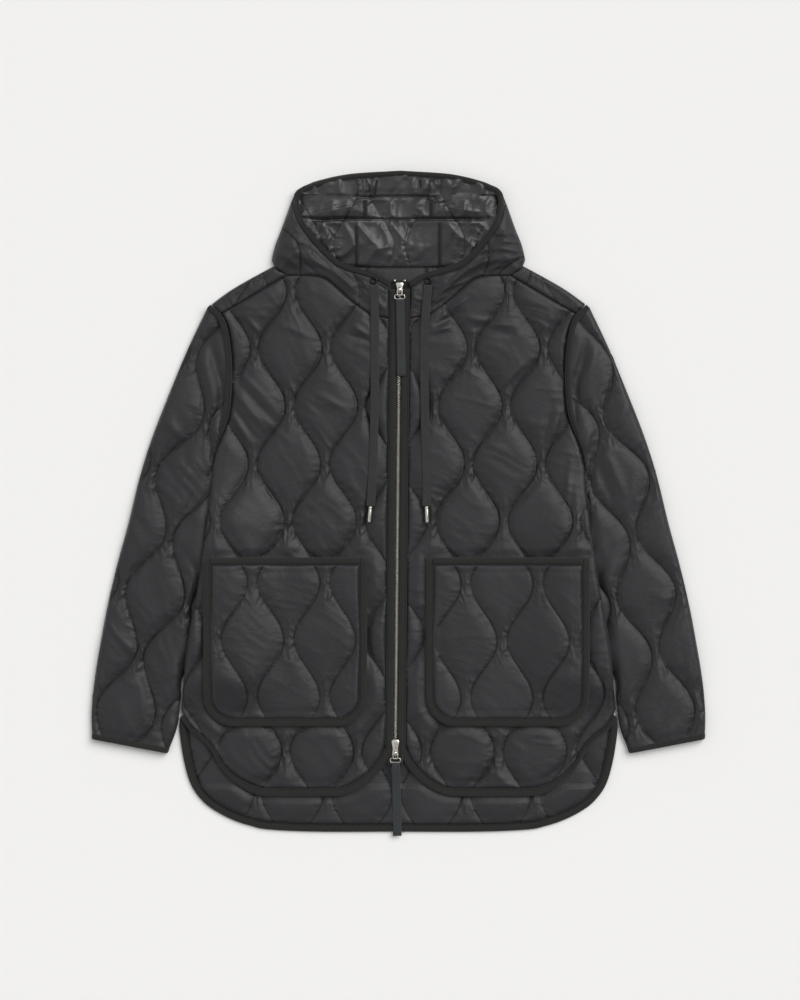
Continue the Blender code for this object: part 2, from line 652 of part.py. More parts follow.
def pull_ring(name, bar_y, middle):
    """A closed wire ring lying flat, its origin on the bar that it turns on."""
    curve = bpy.data.curves.new(name, "CURVE")
    curve.dimensions = "3D"
    curve.bevel_depth = RING_WIRE / 2
    curve.bevel_resolution = 1
    side = (RING_WIDTH - RING_WIRE) / 2 - RING_CORNER
    near, far = -RING_CORNER, RING_CORNER + RING_WIRE - RING_LENGTH
    points = []
    for x, y, start in ((side, near, 90), (side, far, 0), (-side, far, -90), (-side, near, -180)):
        for turn in np.radians(np.linspace(start, start - 90, 4)):
            points.append((x + RING_CORNER * math.cos(turn), y + RING_CORNER * math.sin(turn), 0.0))
    spline = curve.splines.new("POLY")
    spline.points.add(len(points) - 1)
    for point, place in zip(spline.points, points):
        point.co = (*place, 1.0)
    spline.use_cyclic_u = True
    ring = bpy.data.objects.new(name, curve)
    ring.location = (middle, bar_y, RING_HEIGHT)
    bpy.context.collection.objects.link(ring)
    curve.materials.append(nickel())


def ribbon(name, path, width, thickness, finish):
    """A flat strip carried along a path of points, level across."""
    path = np.array(path)
    along = np.gradient(path, axis=0)
    along /= np.linalg.norm(along, axis=1)[:, None]
    across = np.column_stack([-along[:, 1], along[:, 0], np.zeros(len(path))])
    across /= np.linalg.norm(across, axis=1)[:, None]
    up = np.cross(along, across)
    rows = []
    for side, rise in ((-1, -1), (1, -1), (1, 1), (-1, 1)):
        rows.append(path + across * (side * width / 2) + up * (rise * thickness / 2))
    vertices = np.stack(rows, axis=1).reshape(-1, 3)
    faces = []
    for row in range(len(path) - 1):
        for k in range(4):
            a, b = row * 4 + k, row * 4 + (k + 1) % 4
            faces.append((a, b, b + 4, a + 4))
    last = (len(path) - 1) * 4
    faces += [(3, 2, 1, 0), (last, last + 1, last + 2, last + 3)]
    made = new_object(name, vertices, faces, finish)
    outward_faces(made)


def smooth_route(points, count):
    """Points read from a smooth curve through a route's own points (a cubic between neighbours)."""
    route = np.array(points, float)
    padded = np.vstack([2 * route[0] - route[1], route, 2 * route[-1] - route[-2]])
    read = []
    for place in np.linspace(0, len(route) - 1, count):
        k = min(int(place), len(route) - 2)
        t = place - k
        a, b, c, d = padded[k:k + 4]
        bend, turn = 2 * a - 5 * b + 4 * c - d, 3 * b - a - 3 * c + d
        read.append(0.5 * (2 * b + (c - a) * t + bend * t**2 + turn * t**3))
    return np.array(read)


def cord_level(x, y):
    """The height of a drawcord's middle line: on the hood's fold, then on the front."""
    carried = np.where(y > 0.262, flap_top(x, y), FRONT_TOP)
    return carried + SEAM_GAP + CORD_THICKNESS / 2


def drawcords():
    """Flat cords from the eyelets down the front, each in a metal tip."""
    for side, eyelet, route, tip in (("left", EYELET_LEFT, DRAWCORD_LEFT, TIP_LEFT),
                                     ("right", EYELET_RIGHT, DRAWCORD_RIGHT, TIP_RIGHT)):
        flat = smooth_route(scaled(route), CORD_POINTS)
        path = np.column_stack([flat, cord_level(flat[:, 0], flat[:, 1])])
        ribbon(f"drawcord_{side}", path, CORD_WIDTH, CORD_THICKNESS, cord_braid())
        end, far = path[-1, :2], scaled(tip)
        middle, reach = (end + far) / 2, np.linalg.norm(far - end) - SEAM_GAP
        bpy.ops.mesh.primitive_cylinder_add(vertices=12, radius=TIP_DIAMETER / 2, depth=reach)
        made = bpy.context.object
        made.name = f"cord_tip_{side}"
        made.rotation_euler = (math.radians(90), 0.0, math.atan2(*(far - end)[::-1]) + math.radians(90))
        made.location = (*(middle + (far - end) / np.linalg.norm(far - end) * SEAM_GAP / 2),
                         FRONT_TOP + SEAM_GAP + TIP_DIAMETER / 2)
        made.data.materials.append(nickel())
        eyelet_ring(f"eyelet_{side}", scaled(eyelet))


def eyelet_ring(name, middle):
    """A flat metal ring on the hood where a drawcord comes out."""
    x, y = middle
    low = float(flap_top(np.array(x), np.array(y + EYELET_RADIUS))) + SEAM_GAP
    turn = np.radians(np.arange(0, 360, 22.5))
    circle = np.column_stack([np.cos(turn), np.sin(turn)])
    ring = prism(name, middle + circle * EYELET_RADIUS, low, low + EYELET_THICKNESS, black_metal())
    combine(ring, "DIFFERENCE", prism(name + "_hole", middle + circle * EYELET_HOLE))


def pulls():
    """The two sliders, each with a ring and a webbing strap."""
    for end, ends, strap, strap_x in (("top", TOP_SLIDER, TOP_STRAP, TOP_STRAP_X),
                                      ("bottom", BOTTOM_SLIDER, BOTTOM_STRAP, BOTTOM_STRAP_X)):
        slider(f"slider_{end}", ends)
        pull_ring(f"pull_ring_{end}", ends[0] + RING_BACK, zip_line(np.mean(ends)))
        levels = scaled(strap)
        middles = np.interp(-levels[:, 0], (-levels[0, 0], -levels[-1, 0]), scaled(strap_x))
        ribbon(f"pull_strap_{end}", np.column_stack([middles, levels]), STRAP_WIDTH, STRAP_THICKNESS,
               strap_webbing())


def main():
    for found in list(bpy.data.objects):
        bpy.data.objects.remove(found, do_unlink=True)
    back_panel()
    fronts()
    front_bindings()
    back_hem_binding()
    pockets()
    sleeves()
    armhole_bindings()
    hood()
    zip_fastener()
    pulls()
    drawcords()


main()
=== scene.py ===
"""Looks of the hooded quilted jacket, laid flat with its front up.

Metres, +Z up, hood towards +Y. Each quilted panel is a sheet on a grid whose columns follow the
stitched lines; the shell cloth between two lines is relaxed as cloth that is pinned at the stitches
and held up by its wadding. Bindings, cords, straps and wires are profiles carried along paths.
"""
import math
from collections import namedtuple

import bmesh
import bpy
import numpy as np
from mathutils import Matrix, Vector


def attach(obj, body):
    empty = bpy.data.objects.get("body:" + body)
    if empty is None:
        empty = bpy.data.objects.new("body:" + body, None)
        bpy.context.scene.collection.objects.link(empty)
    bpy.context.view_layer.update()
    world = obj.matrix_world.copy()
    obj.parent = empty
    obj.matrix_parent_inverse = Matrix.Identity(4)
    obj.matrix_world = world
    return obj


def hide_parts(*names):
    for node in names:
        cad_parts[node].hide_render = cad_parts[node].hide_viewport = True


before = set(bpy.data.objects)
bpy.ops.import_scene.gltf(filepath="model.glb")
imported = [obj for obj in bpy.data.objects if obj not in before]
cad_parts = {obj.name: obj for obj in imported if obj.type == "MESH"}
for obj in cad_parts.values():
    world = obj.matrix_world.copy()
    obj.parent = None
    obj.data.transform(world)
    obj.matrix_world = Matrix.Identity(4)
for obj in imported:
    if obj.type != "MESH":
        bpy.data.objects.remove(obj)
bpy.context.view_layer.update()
MM = 0.001

# Heights and widths that the panels share with the model's solids
WALL = 5.0 * MM
SEAM_GAP = 0.3 * MM
LAYER_GAP = 0.6 * MM
FRONT_LOW = 5.6 * MM
FRONT_TOP = 10.6 * MM
SLEEVE_TOP = 12.0 * MM
BODY_RISE = 12.6 * MM
POCKET_LOW = 10.9 * MM
POCKET_TOP = 15.3 * MM
BINDING = 11.0 * MM
RIM_BINDING = 8.0 * MM
CUFF_TUCK = 2.0 * MM
UNDERARM_TUCK = 8.0 * MM
ARMHOLE_BINDING = 8.5 * MM
ARMHOLE_RIDGE = 5.0 * MM
EDGE_START = 3.5 * MM
NO_STITCH = 10.0 * MM
TOP_CLEAR = 0.2 * MM
PUCKER_HEIGHT = 1.25 * MM

# Quilting: pairs of lines swing apart and together, which leaves bellies joined by narrow necks
Quilt = namedtuple("Quilt", "x y pitch sway wave tilt drift bend")
STRAIGHT = ((-1.0, 0.0), (1.0, 0.0))
FRONT_QUILTS = {
    "left": Quilt(-0.2268, 0.2163, 0.0505, 0.0186, 0.1610, 0.0, 0.0116, STRAIGHT),
    "right": Quilt(0.0769, 0.2163, 0.0507, 0.0186, 0.1610, 0.0, 0.0231, STRAIGHT),
}
POCKET_QUILTS = {
    "left": Quilt(-0.2790, -0.1900, 0.0504, 0.0180, 0.1590, 0.0, 0.0, STRAIGHT),
    "right": Quilt(0.0186, -0.1918, 0.0503, 0.0180, 0.1590, 0.0, 0.0, STRAIGHT),
}
SLEEVE_QUILTS = {
    "left": Quilt(-0.3427, -0.0392, 0.0470, 0.0172, 0.1688, math.radians(-13.9), 0.0,
                  ((0.060, 0.0), (0.172, 0.012), (0.250, 0.019), (0.320, 0.019))),
    "right": Quilt(0.3053, -0.0527, 0.0470, 0.0172, 0.1640, math.radians(13.2), 0.0,
                   ((-0.235, -0.012), (-0.085, 0.0), (0.094, 0.0), (0.176, -0.008), (0.256, -0.015))),
}
HOOD_QUILTS = {
    "left": Quilt(-0.1560, 0.3560, 0.0500, 0.0160, 0.1610, math.radians(28.0), 0.0, STRAIGHT),
    "right": Quilt(0.1060, 0.3300, 0.0500, 0.0160, 0.1610, math.radians(-28.0), 0.0, STRAIGHT),
}
BACK_QUILT = Quilt(-0.0268, -0.4074, 0.0486, 0.0180, 0.1610, 0.0, 0.0, STRAIGHT)
LINING_QUILT = Quilt(-0.0236, 0.3600, 0.0500, 0.0170, 0.1610, 0.0, 0.0, STRAIGHT)

# Outlines in millimetres: x, y, for the +X half, from the hem upwards
BACK_HEM = [(0, -459), (112, -459), (181, -456), (206, -451), (228, -444), (251, -433), (270, -420),
            (284, -404), (292, -389), (298, -369), (303, -344), (306.5, -315), (305, -298)]
BODY_SIDE = [(305, -298), (302, -275), (299, -240), (294, -191), (281, -121), (270, -48), (264, 5),
             (262.5, 38)]
ARMHOLE = [(262.5, 38), (259, 60), (252, 83), (239, 115), (233.5, 145), (232, 190), (235, 225),
           (240, 250), (248, 266), (262, 278)]
SHOULDER = [(262, 278), (236, 297), (209, 313), (174, 332)]
FORWARD_SEAM = [(248, 266), (157, 319)]
NECK_SEAM = [(157, 319), (110, 317), (89, 303), (65, 282), (38, 263), (3.5, 257)]
FRONT_EDGE = [(3.5, 257), (3.5, -335), (7, -350), (16, -367), (33, -386), (51, -399), (70, -407),
              (95, -409), (178, -409), (203, -405), (225, -393), (241, -379), (253, -363), (262, -346),
              (276, -330), (294, -315), (305, -298)]
FRONT_BINDING_TOP = 0.299
HOOD_EDGE = [(174, 332), (177, 340), (172, 362), (164, 382), (154, 410), (149, 424)]
HOOD_CROWN = [(148, 427), (142, 437), (130, 444), (111, 451), (68, 460), (0, 464.5)]
RIM_SIDE = [(14, 306), (32, 316.5), (58, 324.5), (84, 333.5), (104, 350), (122, 371), (137, 393),
            (142.5, 412)]
RIM_CROWN = [(142.5, 427), (137, 436), (126, 441), (109, 447), (67, 456), (0, 460.5)]
BACK_NECK = 0.331

# Sleeve: outer edge x, y and inner edge x, y, from the armhole to the cuff
SLEEVE_EDGES = [
    (266.0, 276, 263.8, 38),
    (293.0, 219, 264.8, 22),
    (321.0, 152, 265.6, 6),
    (345.0, 90, 245.0, -32),
    (362.0, 35, 234.0, -75),
    (378.0, -30, 236.0, -120),
    (393.0, -85, 250.0, -165),
    (407.0, -145, 272.0, -205),
    (417.0, -198, 301.0, -240),
    (425.0, -248, 304.6, -276),
    (429.0, -295, 309.5, -313),
    (428.0, -329, 323.0, -349),
]

# Pockets in millimetres
POCKET_INNER, POCKET_OUTER = 41.0, 269.0
POCKET_UPPER, POCKET_LOWER = -75.0, -311.0
POCKET_CORNER = 42.0

# Folds of the hood's inside, from the back neck to the crown: y, height in millimetres
HOOD_FOLDS = [(331, 5.0), (362, 11.0), (385, 14.8), (391.5, 15.6), (394.5, 14.2), (396, 5.5), (397.5, 5.5),
              (401, 10.5), (408, 13.2), (420, 15.4), (424, 14.6), (426, 7.5), (427.5, 7.5), (431, 11.5),
              (440, 13.6), (465, 15.0)]
HOOD_PLAIN = [(331, 5.0), (362, 10.5), (395, 12.0), (430, 12.5), (446, 13.5), (465, 15.0)]
HOOD_TIP = 0.431

# The closed front edge runs a touch off the centre line, fading out across the fronts
ZIP_LEAN = 0.0094
ZIP_OFFSET = -1.1 * MM
LEAN_ACROSS = (0.100, 0.150)

# Drawcords in millimetres: x, y from below the eyelet to the cord's end, and the tip's far end
CORD_WIDTH = 12.0 * MM
CORD_THICKNESS = 2.0 * MM
TIP_DIAMETER = 5.6 * MM
EYELET_RADIUS = 3.8 * MM
EYELETS = {"left": (-34.3, 311), "right": (41.6, 311)}
DRAWCORDS = {
    "left": [(-34.0, 305), (-33.4, 290), (-33.0, 262), (-33.0, 230), (-33.0, 190), (-33.2, 145),
             (-34.0, 105), (-35.0, 70), (-36.6, 35), (-38.2, 5), (-39.0, -4)],
    "right": [(41.2, 305), (40.0, 290), (37.8, 262), (36.2, 230), (35.9, 190), (36.6, 145),
              (37.2, 105), (38.2, 70), (39.4, 35), (39.5, 5), (39.2, -4)],
}
TIPS = {"left": (-40.9, -26.5), "right": (40.2, -27.0)}

# Sliders: the end from which the pull hangs, and the other end
ZIP_ENDS = (-0.352, 0.312)
ZIP_TAPE_WIDTH = 12.0 * MM
SLIDERS = {"top": (0.293, 0.309), "bottom": (-0.3535, -0.329)}
STRAPS = {
    "top": [(284.4, 14.6), (278, 13.4), (268, 12.3), (240, 12.2), (178, 12.2)],
    "bottom": [(-362.2, 14.6), (-369, 13.4), (-380, 9.8), (-400, 6.9), (-430, 6.6), (-464.5, 6.6)],
}
STRAP_X = {"top": (2.2, 3.9), "bottom": (-3.8, -1.6)}
STRAP_WIDTH = 12.0 * MM
STRAP_THICKNESS = 1.6 * MM
RING_HEIGHT = 14.7 * MM
WIRE_RADIUS = 0.8 * MM


# ---------------------------------------------------------------- plane geometry

def scaled(table):
    """A table in millimetres as an array in metres."""
    return np.array(table, float) * MM


def smoothed(path, step=0.004):
    """A smooth curve through a path's points (a cubic between neighbours), read about every step."""
    path = np.asarray(path, float)
    padded = np.vstack([2 * path[:1] - path[1:2], path, 2 * path[-1:] - path[-2:-1]])
    runs = np.linalg.norm(np.diff(path, axis=0), axis=1)
    counts = np.maximum(1, np.round(runs / step)).astype(int)
    k = np.repeat(np.arange(len(runs)), counts)
    first = np.concatenate([[0], np.cumsum(counts)[:-1]])
    t = ((np.arange(len(k)) - first[k]) / counts[k])[:, None]
    a, b, c, d = (padded[k + shift] for shift in range(4))
    bend, turn = 2 * a - 5 * b + 4 * c - d, 3 * b - a - 3 * c + d
    return np.vstack([0.5 * (2 * b + (c - a) * t + bend * t**2 + turn * t**3), path[-1:]])


def mirrored(points):
    """The same outline on the other side of the centre, still in counter-clockwise order."""
    return points[::-1] * np.array([-1.0, 1.0])


def side_turns():
    """The two sides, and how each turns an outline of the +X half."""
    return (("left", mirrored), ("right", np.copy))


def left_of(path):
    """The unit direction to the left of a path at each of its points, stretched at corners."""
    steps = np.diff(path, axis=0)
    steps /= np.linalg.norm(steps, axis=1)[:, None]
    before = np.vstack([steps[:1], steps])
    after = np.vstack([steps, steps[-1:]])
    middle = before + after
    middle /= np.linalg.norm(middle, axis=1)[:, None]
    mitre = 1.0 / np.maximum(0.5, np.einsum("ij,ij->i", middle, after))
    return np.column_stack([-middle[:, 1], middle[:, 0]]) * mitre[:, None]


def offset_path(path, distance):
    """The path moved to its left by a distance."""
    return path + left_of(path) * distance


def nearest(x, y, path):
    """The distance from each point to a path of straight runs, and the nearest point on it."""
    start, run = path[:-1], np.diff(path, axis=0)
    squared = np.maximum(np.sum(run * run, axis=1), 1e-18)
    flat_x, flat_y = np.ravel(x), np.ravel(y)
    best = np.full(flat_x.shape, np.inf)
    place = np.zeros((flat_x.size, 2))
    for origin, step, size in zip(start, run, squared):
        share = np.clip(((flat_x - origin[0]) * step[0] + (flat_y - origin[1]) * step[1]) / size, 0.0, 1.0)
        near_x, near_y = origin[0] + share * step[0], origin[1] + share * step[1]
        gap = np.hypot(flat_x - near_x, flat_y - near_y)
        closer = gap < best
        best[closer] = gap[closer]
        place[closer, 0] = near_x[closer]
        place[closer, 1] = near_y[closer]
    shape = np.shape(x)
    return best.reshape(shape), place[:, 0].reshape(shape), place[:, 1].reshape(shape)


def path_distance(x, y, path):
    """The shortest distance from each point to a path."""
    return nearest(x, y, path)[0]


def within(x, y, outline):
    """Whether each point lies inside a closed outline: an odd number of its sides lie to the right."""
    odd = np.zeros(np.shape(x), bool)
    for (ax, ay), (bx, by) in zip(outline, np.roll(outline, -1, axis=0)):
        if ay == by:
            continue
        spans = (ay > y) != (by > y)
        odd ^= spans & (x < (bx - ax) * (y - ay) / (by - ay) + ax)
    return odd


def zip_line(y):
    """Where the middle of the zip runs at a height y on the front."""
    return ZIP_OFFSET + ZIP_LEAN * y


def leaned(points):
    """An outline of the front, moved with the zip near the middle; the body's sides stay."""
    share = np.interp(np.abs(points[:, 0]), LEAN_ACROSS, (1.0, 0.0))
    return np.column_stack([points[:, 0] + share * zip_line(points[:, 1]), points[:, 1]])


def eased(value, low, high):
    """0 below low, 1 above high, and a smooth rise between."""
    t = np.clip((value - low) / (high - low), 0.0, 1.0)
    return t * t * (3.0 - 2.0 * t)


def ripple(x, y, size, seed):
    """A smooth uneven field of about unit height: seven sine waves in scattered directions."""
    draw = np.random.default_rng(seed)
    total = np.zeros(np.shape(x))
    for angle, phase, scale in zip(draw.uniform(0, math.pi, 7), draw.uniform(0, 2 * math.pi, 7),
                                   draw.uniform(0.7, 1.5, 7)):
        total += np.sin((x * math.cos(angle) + y * math.sin(angle)) * 2 * math.pi / (size * scale) + phase)
    return total / 2.6


def lattice_noise(x, y, seed):
    """Smooth noise from 0 to 1: random numbers on a square lattice, blended between its corners."""
    size = 97
    table = np.random.default_rng(seed).random((size, size))
    column, row = np.floor(x), np.floor(y)
    u, v = x - column, y - row
    u, v = u * u * (3.0 - 2.0 * u), v * v * (3.0 - 2.0 * v)
    i, j = column.astype(int) % size, row.astype(int) % size
    right, upper = (i + 1) % size, (j + 1) % size
    below = table[j, i] * (1.0 - u) + table[j, right] * u
    above = table[upper, i] * (1.0 - u) + table[upper, right] * u
    return below * (1.0 - v) + above * v


def creased(x, y, seed):
    """Creases from 0 to 1: narrow ridges where smooth noise crosses its middle value."""
    return (1.0 - np.abs(2.0 * lattice_noise(x, y, seed) - 1.0)) ** 3


# ---------------------------------------------------------------- heights of the layers

def body_rise(x, y):
    """How far the body's panels are lifted where their sides lie on the sleeves."""
    across = eased(np.abs(x), 0.150, 0.240)
    along = eased(y, -0.300, -0.236) * (1.0 - eased(y, -0.035, 0.055))
    return BODY_RISE * across * along


def hood_silhouette():
    """The hood's edge, from one shoulder over the crown to the other."""
    half = scaled(HOOD_EDGE + HOOD_CROWN[1:])
    return np.vstack([half, mirrored(half)[1:]])


def neck_line():
    """The seam between the hood and the body, all the way across."""
    half = scaled(NECK_SEAM)
    return np.vstack([half, mirrored(half)])


def flap_top(x, y):
    """The upper face of the hood's folded sides: it rises from the neck seam and from the edge."""
    from_neck = 0.15 * path_distance(x, y, neck_line())
    from_edge = 0.5 * path_distance(x, y, hood_silhouette())
    throat = np.interp(np.abs(x), (0.020, 0.090), (0.25, 1.0))
    return FRONT_TOP + np.minimum(np.minimum(from_neck, from_edge), 0.013) * throat


def fold_height(x, y):
    """The height of the hood's inside along the garment, with its two long folds, which fade out."""
    bowed = y + 0.0016 * (lattice_noise(x / 0.035 + 3.0, x * 0.0, 137) - 0.5) * 2.0
    table, plain = np.array(HOOD_FOLDS), np.array(HOOD_PLAIN)
    folded = np.interp(bowed / MM, table[:, 0], table[:, 1]) * MM
    smooth = np.interp(y / MM, plain[:, 0], plain[:, 1]) * MM
    reach = np.interp(y, (0.408, 0.418), (0.118, 0.058))
    share = 1.0 - eased(np.abs(x), reach - 0.012, reach + 0.008)
    return smooth + (folded - smooth) * share


def hood_inside(x, y):
    """The hood's inside, lower towards its edge and under its folded sides."""
    edge = WALL + 0.35 * path_distance(x, y, hood_silhouette())
    covered = np.minimum(np.minimum(fold_height(x, y), edge), flap_top(x, y) - WALL - LAYER_GAP)
    return np.where(y > HOOD_TIP, fold_height(x, y), covered)


# ---------------------------------------------------------------- meshes

def mesh_object(name, vertices, faces, finish, attributes=None):
    """A mesh object from arrays, shaded smooth, with its numbers stored on its points."""
    mesh = bpy.data.meshes.new(name)
    faces = np.asarray(faces)
    mesh.vertices.add(len(vertices))
    mesh.vertices.foreach_set("co", np.asarray(vertices, np.float32).ravel())
    size = faces.shape[1]
    mesh.loops.add(faces.size)
    mesh.loops.foreach_set("vertex_index", faces.astype(np.int32).ravel())
    mesh.polygons.add(len(faces))
    mesh.polygons.foreach_set("loop_start", np.arange(0, faces.size, size, dtype=np.int32))
    mesh.update(calc_edges=True)
    mesh.validate()
    mesh.polygons.foreach_set("use_smooth", np.ones(len(mesh.polygons), bool))
    for key, values in (attributes or {}).items():
        mesh.attributes.new(key, "FLOAT", "POINT").data.foreach_set("value", np.asarray(values, np.float32))
    mesh.materials.append(finish)
    made = bpy.data.objects.new(name, mesh)
    bpy.context.scene.collection.objects.link(made)
    return made


def joined(name, parts, finish):
    """Several sets of vertices, quads and numbers as one object."""
    vertices, faces, attributes, start = [], [], {}, 0
    for points, quads, numbers in parts:
        vertices.append(points)
        faces.append(np.asarray(quads) + start)
        for key, values in numbers.items():
            attributes.setdefault(key, []).append(values)
        start += len(points)
    merged = {key: np.concatenate(values) for key, values in attributes.items()}
    return mesh_object(name, np.vstack(vertices), np.vstack(faces), finish, merged)


def kept_cells(keep):
    """The corners of each grid cell whose four points are kept, counter-clockwise, as flat indices."""
    rows, columns = keep.shape
    index = np.arange(rows * columns).reshape(rows, columns)
    whole = keep[:-1, :-1] & keep[1:, :-1] & keep[:-1, 1:] & keep[1:, 1:]
    corners = (index[:-1, :-1], index[:-1, 1:], index[1:, 1:], index[1:, :-1])
    return np.stack([corner[whole] for corner in corners], axis=1)


def open_edges(cells, count):
    """The directed edges that only one cell uses."""
    start = cells.ravel()
    end = np.roll(cells, -1, axis=1).ravel()
    key, back = start.astype(np.int64) * count + end, end.astype(np.int64) * count + start
    alone = ~np.isin(key, back)
    return start[alone], end[alone]


def closed_sheet(top, low, cells, numbers):
    """A closed wall: the upper points, the lower points in reverse, and a strip along open edges."""
    count = len(top)
    start, end = open_edges(cells, count)
    walls = np.column_stack([start, start + count, end + count, end])
    faces = np.vstack([cells, cells[:, ::-1] + count, walls])
    used = np.unique(faces)
    order = np.full(2 * count, -1)
    order[used] = np.arange(len(used))
    doubled = {key: np.tile(values, 2)[used] for key, values in numbers.items()}
    return np.vstack([top, low])[used], order[faces], doubled


# ---------------------------------------------------------------- quilted cloth

def swing(line):
    """The side to which each line swings: +1 on even lines, -1 on odd, straight between."""
    return 1.0 - 2.0 * (1.0 - np.abs(np.mod(line, 2.0) - 1.0))


def quilt_grid(quilt, outline, cells_across, row_step):
    """Grid coordinates that cover an outline: across in lines and parts of a line, and along."""
    across = np.array([math.cos(quilt.tilt), math.sin(quilt.tilt)])
    along = np.array([-across[1], across[0]])
    local = outline - (quilt.x, quilt.y)
    u, v = local @ across, local @ along
    u = u - quilt.drift * v
    first = math.floor((u.min() - quilt.sway) / quilt.pitch) - 2
    last = math.ceil((u.max() + quilt.sway) / quilt.pitch) + 2
    lines = np.arange(first * cells_across, last * cells_across + 1) / cells_across
    rows = np.arange(v.min() - 2 * row_step, v.max() + 3 * row_step, row_step)
    return np.meshgrid(lines, rows)


def quilt_place(quilt, lines, rows):
    """Where grid points lie: each line swings as a cosine along the panel, and all tilt and drift."""
    phase = np.cos(2 * math.pi * rows / quilt.wave)
    bend = np.array(quilt.bend)
    shift = np.interp(rows, bend[:, 0], bend[:, 1])
    u = lines * quilt.pitch + quilt.sway * swing(lines) * phase + quilt.drift * rows + shift
    cosine, sine = math.cos(quilt.tilt), math.sin(quilt.tilt)
    return quilt.x + u * cosine - rows * sine, quilt.y + u * sine + rows * cosine


def stitch_distance(quilt, lines, rows):
    """The distance to the nearest stitched line, and the width between the two lines here."""
    part = lines - np.floor(lines)
    phase = np.cos(2 * math.pi * rows / quilt.wave)
    turn = np.where(np.mod(np.floor(lines), 2.0) < 0.5, -1.0, 1.0)
    width = quilt.pitch + 2 * quilt.sway * turn * phase
    slope = quilt.sway * 2 * math.pi / quilt.wave * np.sin(2 * math.pi * rows / quilt.wave)
    upright = 1.0 / np.sqrt(1.0 + slope**2)
    return np.minimum(part, 1.0 - part) * width * upright, width


def puff(quilt, lines, rows):
    """The share of full loft: an arch between two lines, lower where they come close."""
    part = lines - np.floor(lines)
    away, width = stitch_distance(quilt, lines, rows)
    cushion = (1.0 - (1.0 - np.minimum(away / 0.023, 1.0)) ** 2.2) ** 0.78
    dome = (1.0 - (2.0 * part - 1.0) ** 2) * np.minimum(1.0, width / (quilt.pitch + 2 * quilt.sway)) ** 0.6
    return 0.72 * cushion + 0.28 * dome


def puckers(quilt, lines, rows, seed):
    """How the thread gathers the shell: short ridges that run off each stitched line, square to it.

    The noise is stretched away from the line and tight along it; it starts at the stitches, is
    strongest a few millimetres off, dies out towards the belly, and is stronger in the necks.
    """
    away, width = stitch_distance(quilt, lines, rows)
    line = np.round(lines)
    slope = quilt.sway * 2 * math.pi / quilt.wave * np.sin(2 * math.pi * rows / quilt.wave) * swing(line)
    lean = (line - lines) * quilt.pitch * slope
    reach = rows + lean + 0.25 * away * np.sin(rows * 90.0 + line * 2.3)
    ridges = creased(away / 0.020 + line * 7.3, reach / 0.0075, seed) - 0.35
    fine = creased(away / 0.012 + line * 3.1, reach / 0.0048, seed + 1) - 0.35
    patches = 0.35 + 0.65 * eased(lattice_noise(line * 5.7, rows / 0.034, seed + 2), 0.30, 0.70)
    narrow = 1.0 - eased(width, 0.018, 0.050)
    start = np.clip(away / 0.0028, 0.0, 1.0) ** 0.8
    fade = np.exp(-(away / (0.0105 + 0.004 * narrow)) ** 2)
    return (0.95 * ridges + 0.45 * fine) * patches * start * fade * (1.0 + 0.9 * narrow)


def soft_folds(x, y, angle, seed):
    """Long soft folds: creased noise stretched along a direction, its place shifted unevenly."""
    x = x + 0.034 * (lattice_noise(x / 0.060, y / 0.060, seed + 3) - 0.5)
    y = y + 0.034 * (lattice_noise(x / 0.060 + 5.0, y / 0.060, seed + 4) - 0.5)
    along = x * math.cos(angle) + y * math.sin(angle)
    across = y * math.cos(angle) - x * math.sin(angle)
    broad = creased(along / 0.070, across / 0.017, seed) - 0.3
    sharp = creased(along / 0.045 + 9.0, across / 0.0095, seed + 1) - 0.3
    where = eased(lattice_noise(x / 0.045, y / 0.045, seed + 2), 0.35, 0.75)
    return broad * 0.6 + sharp * 0.8 * where


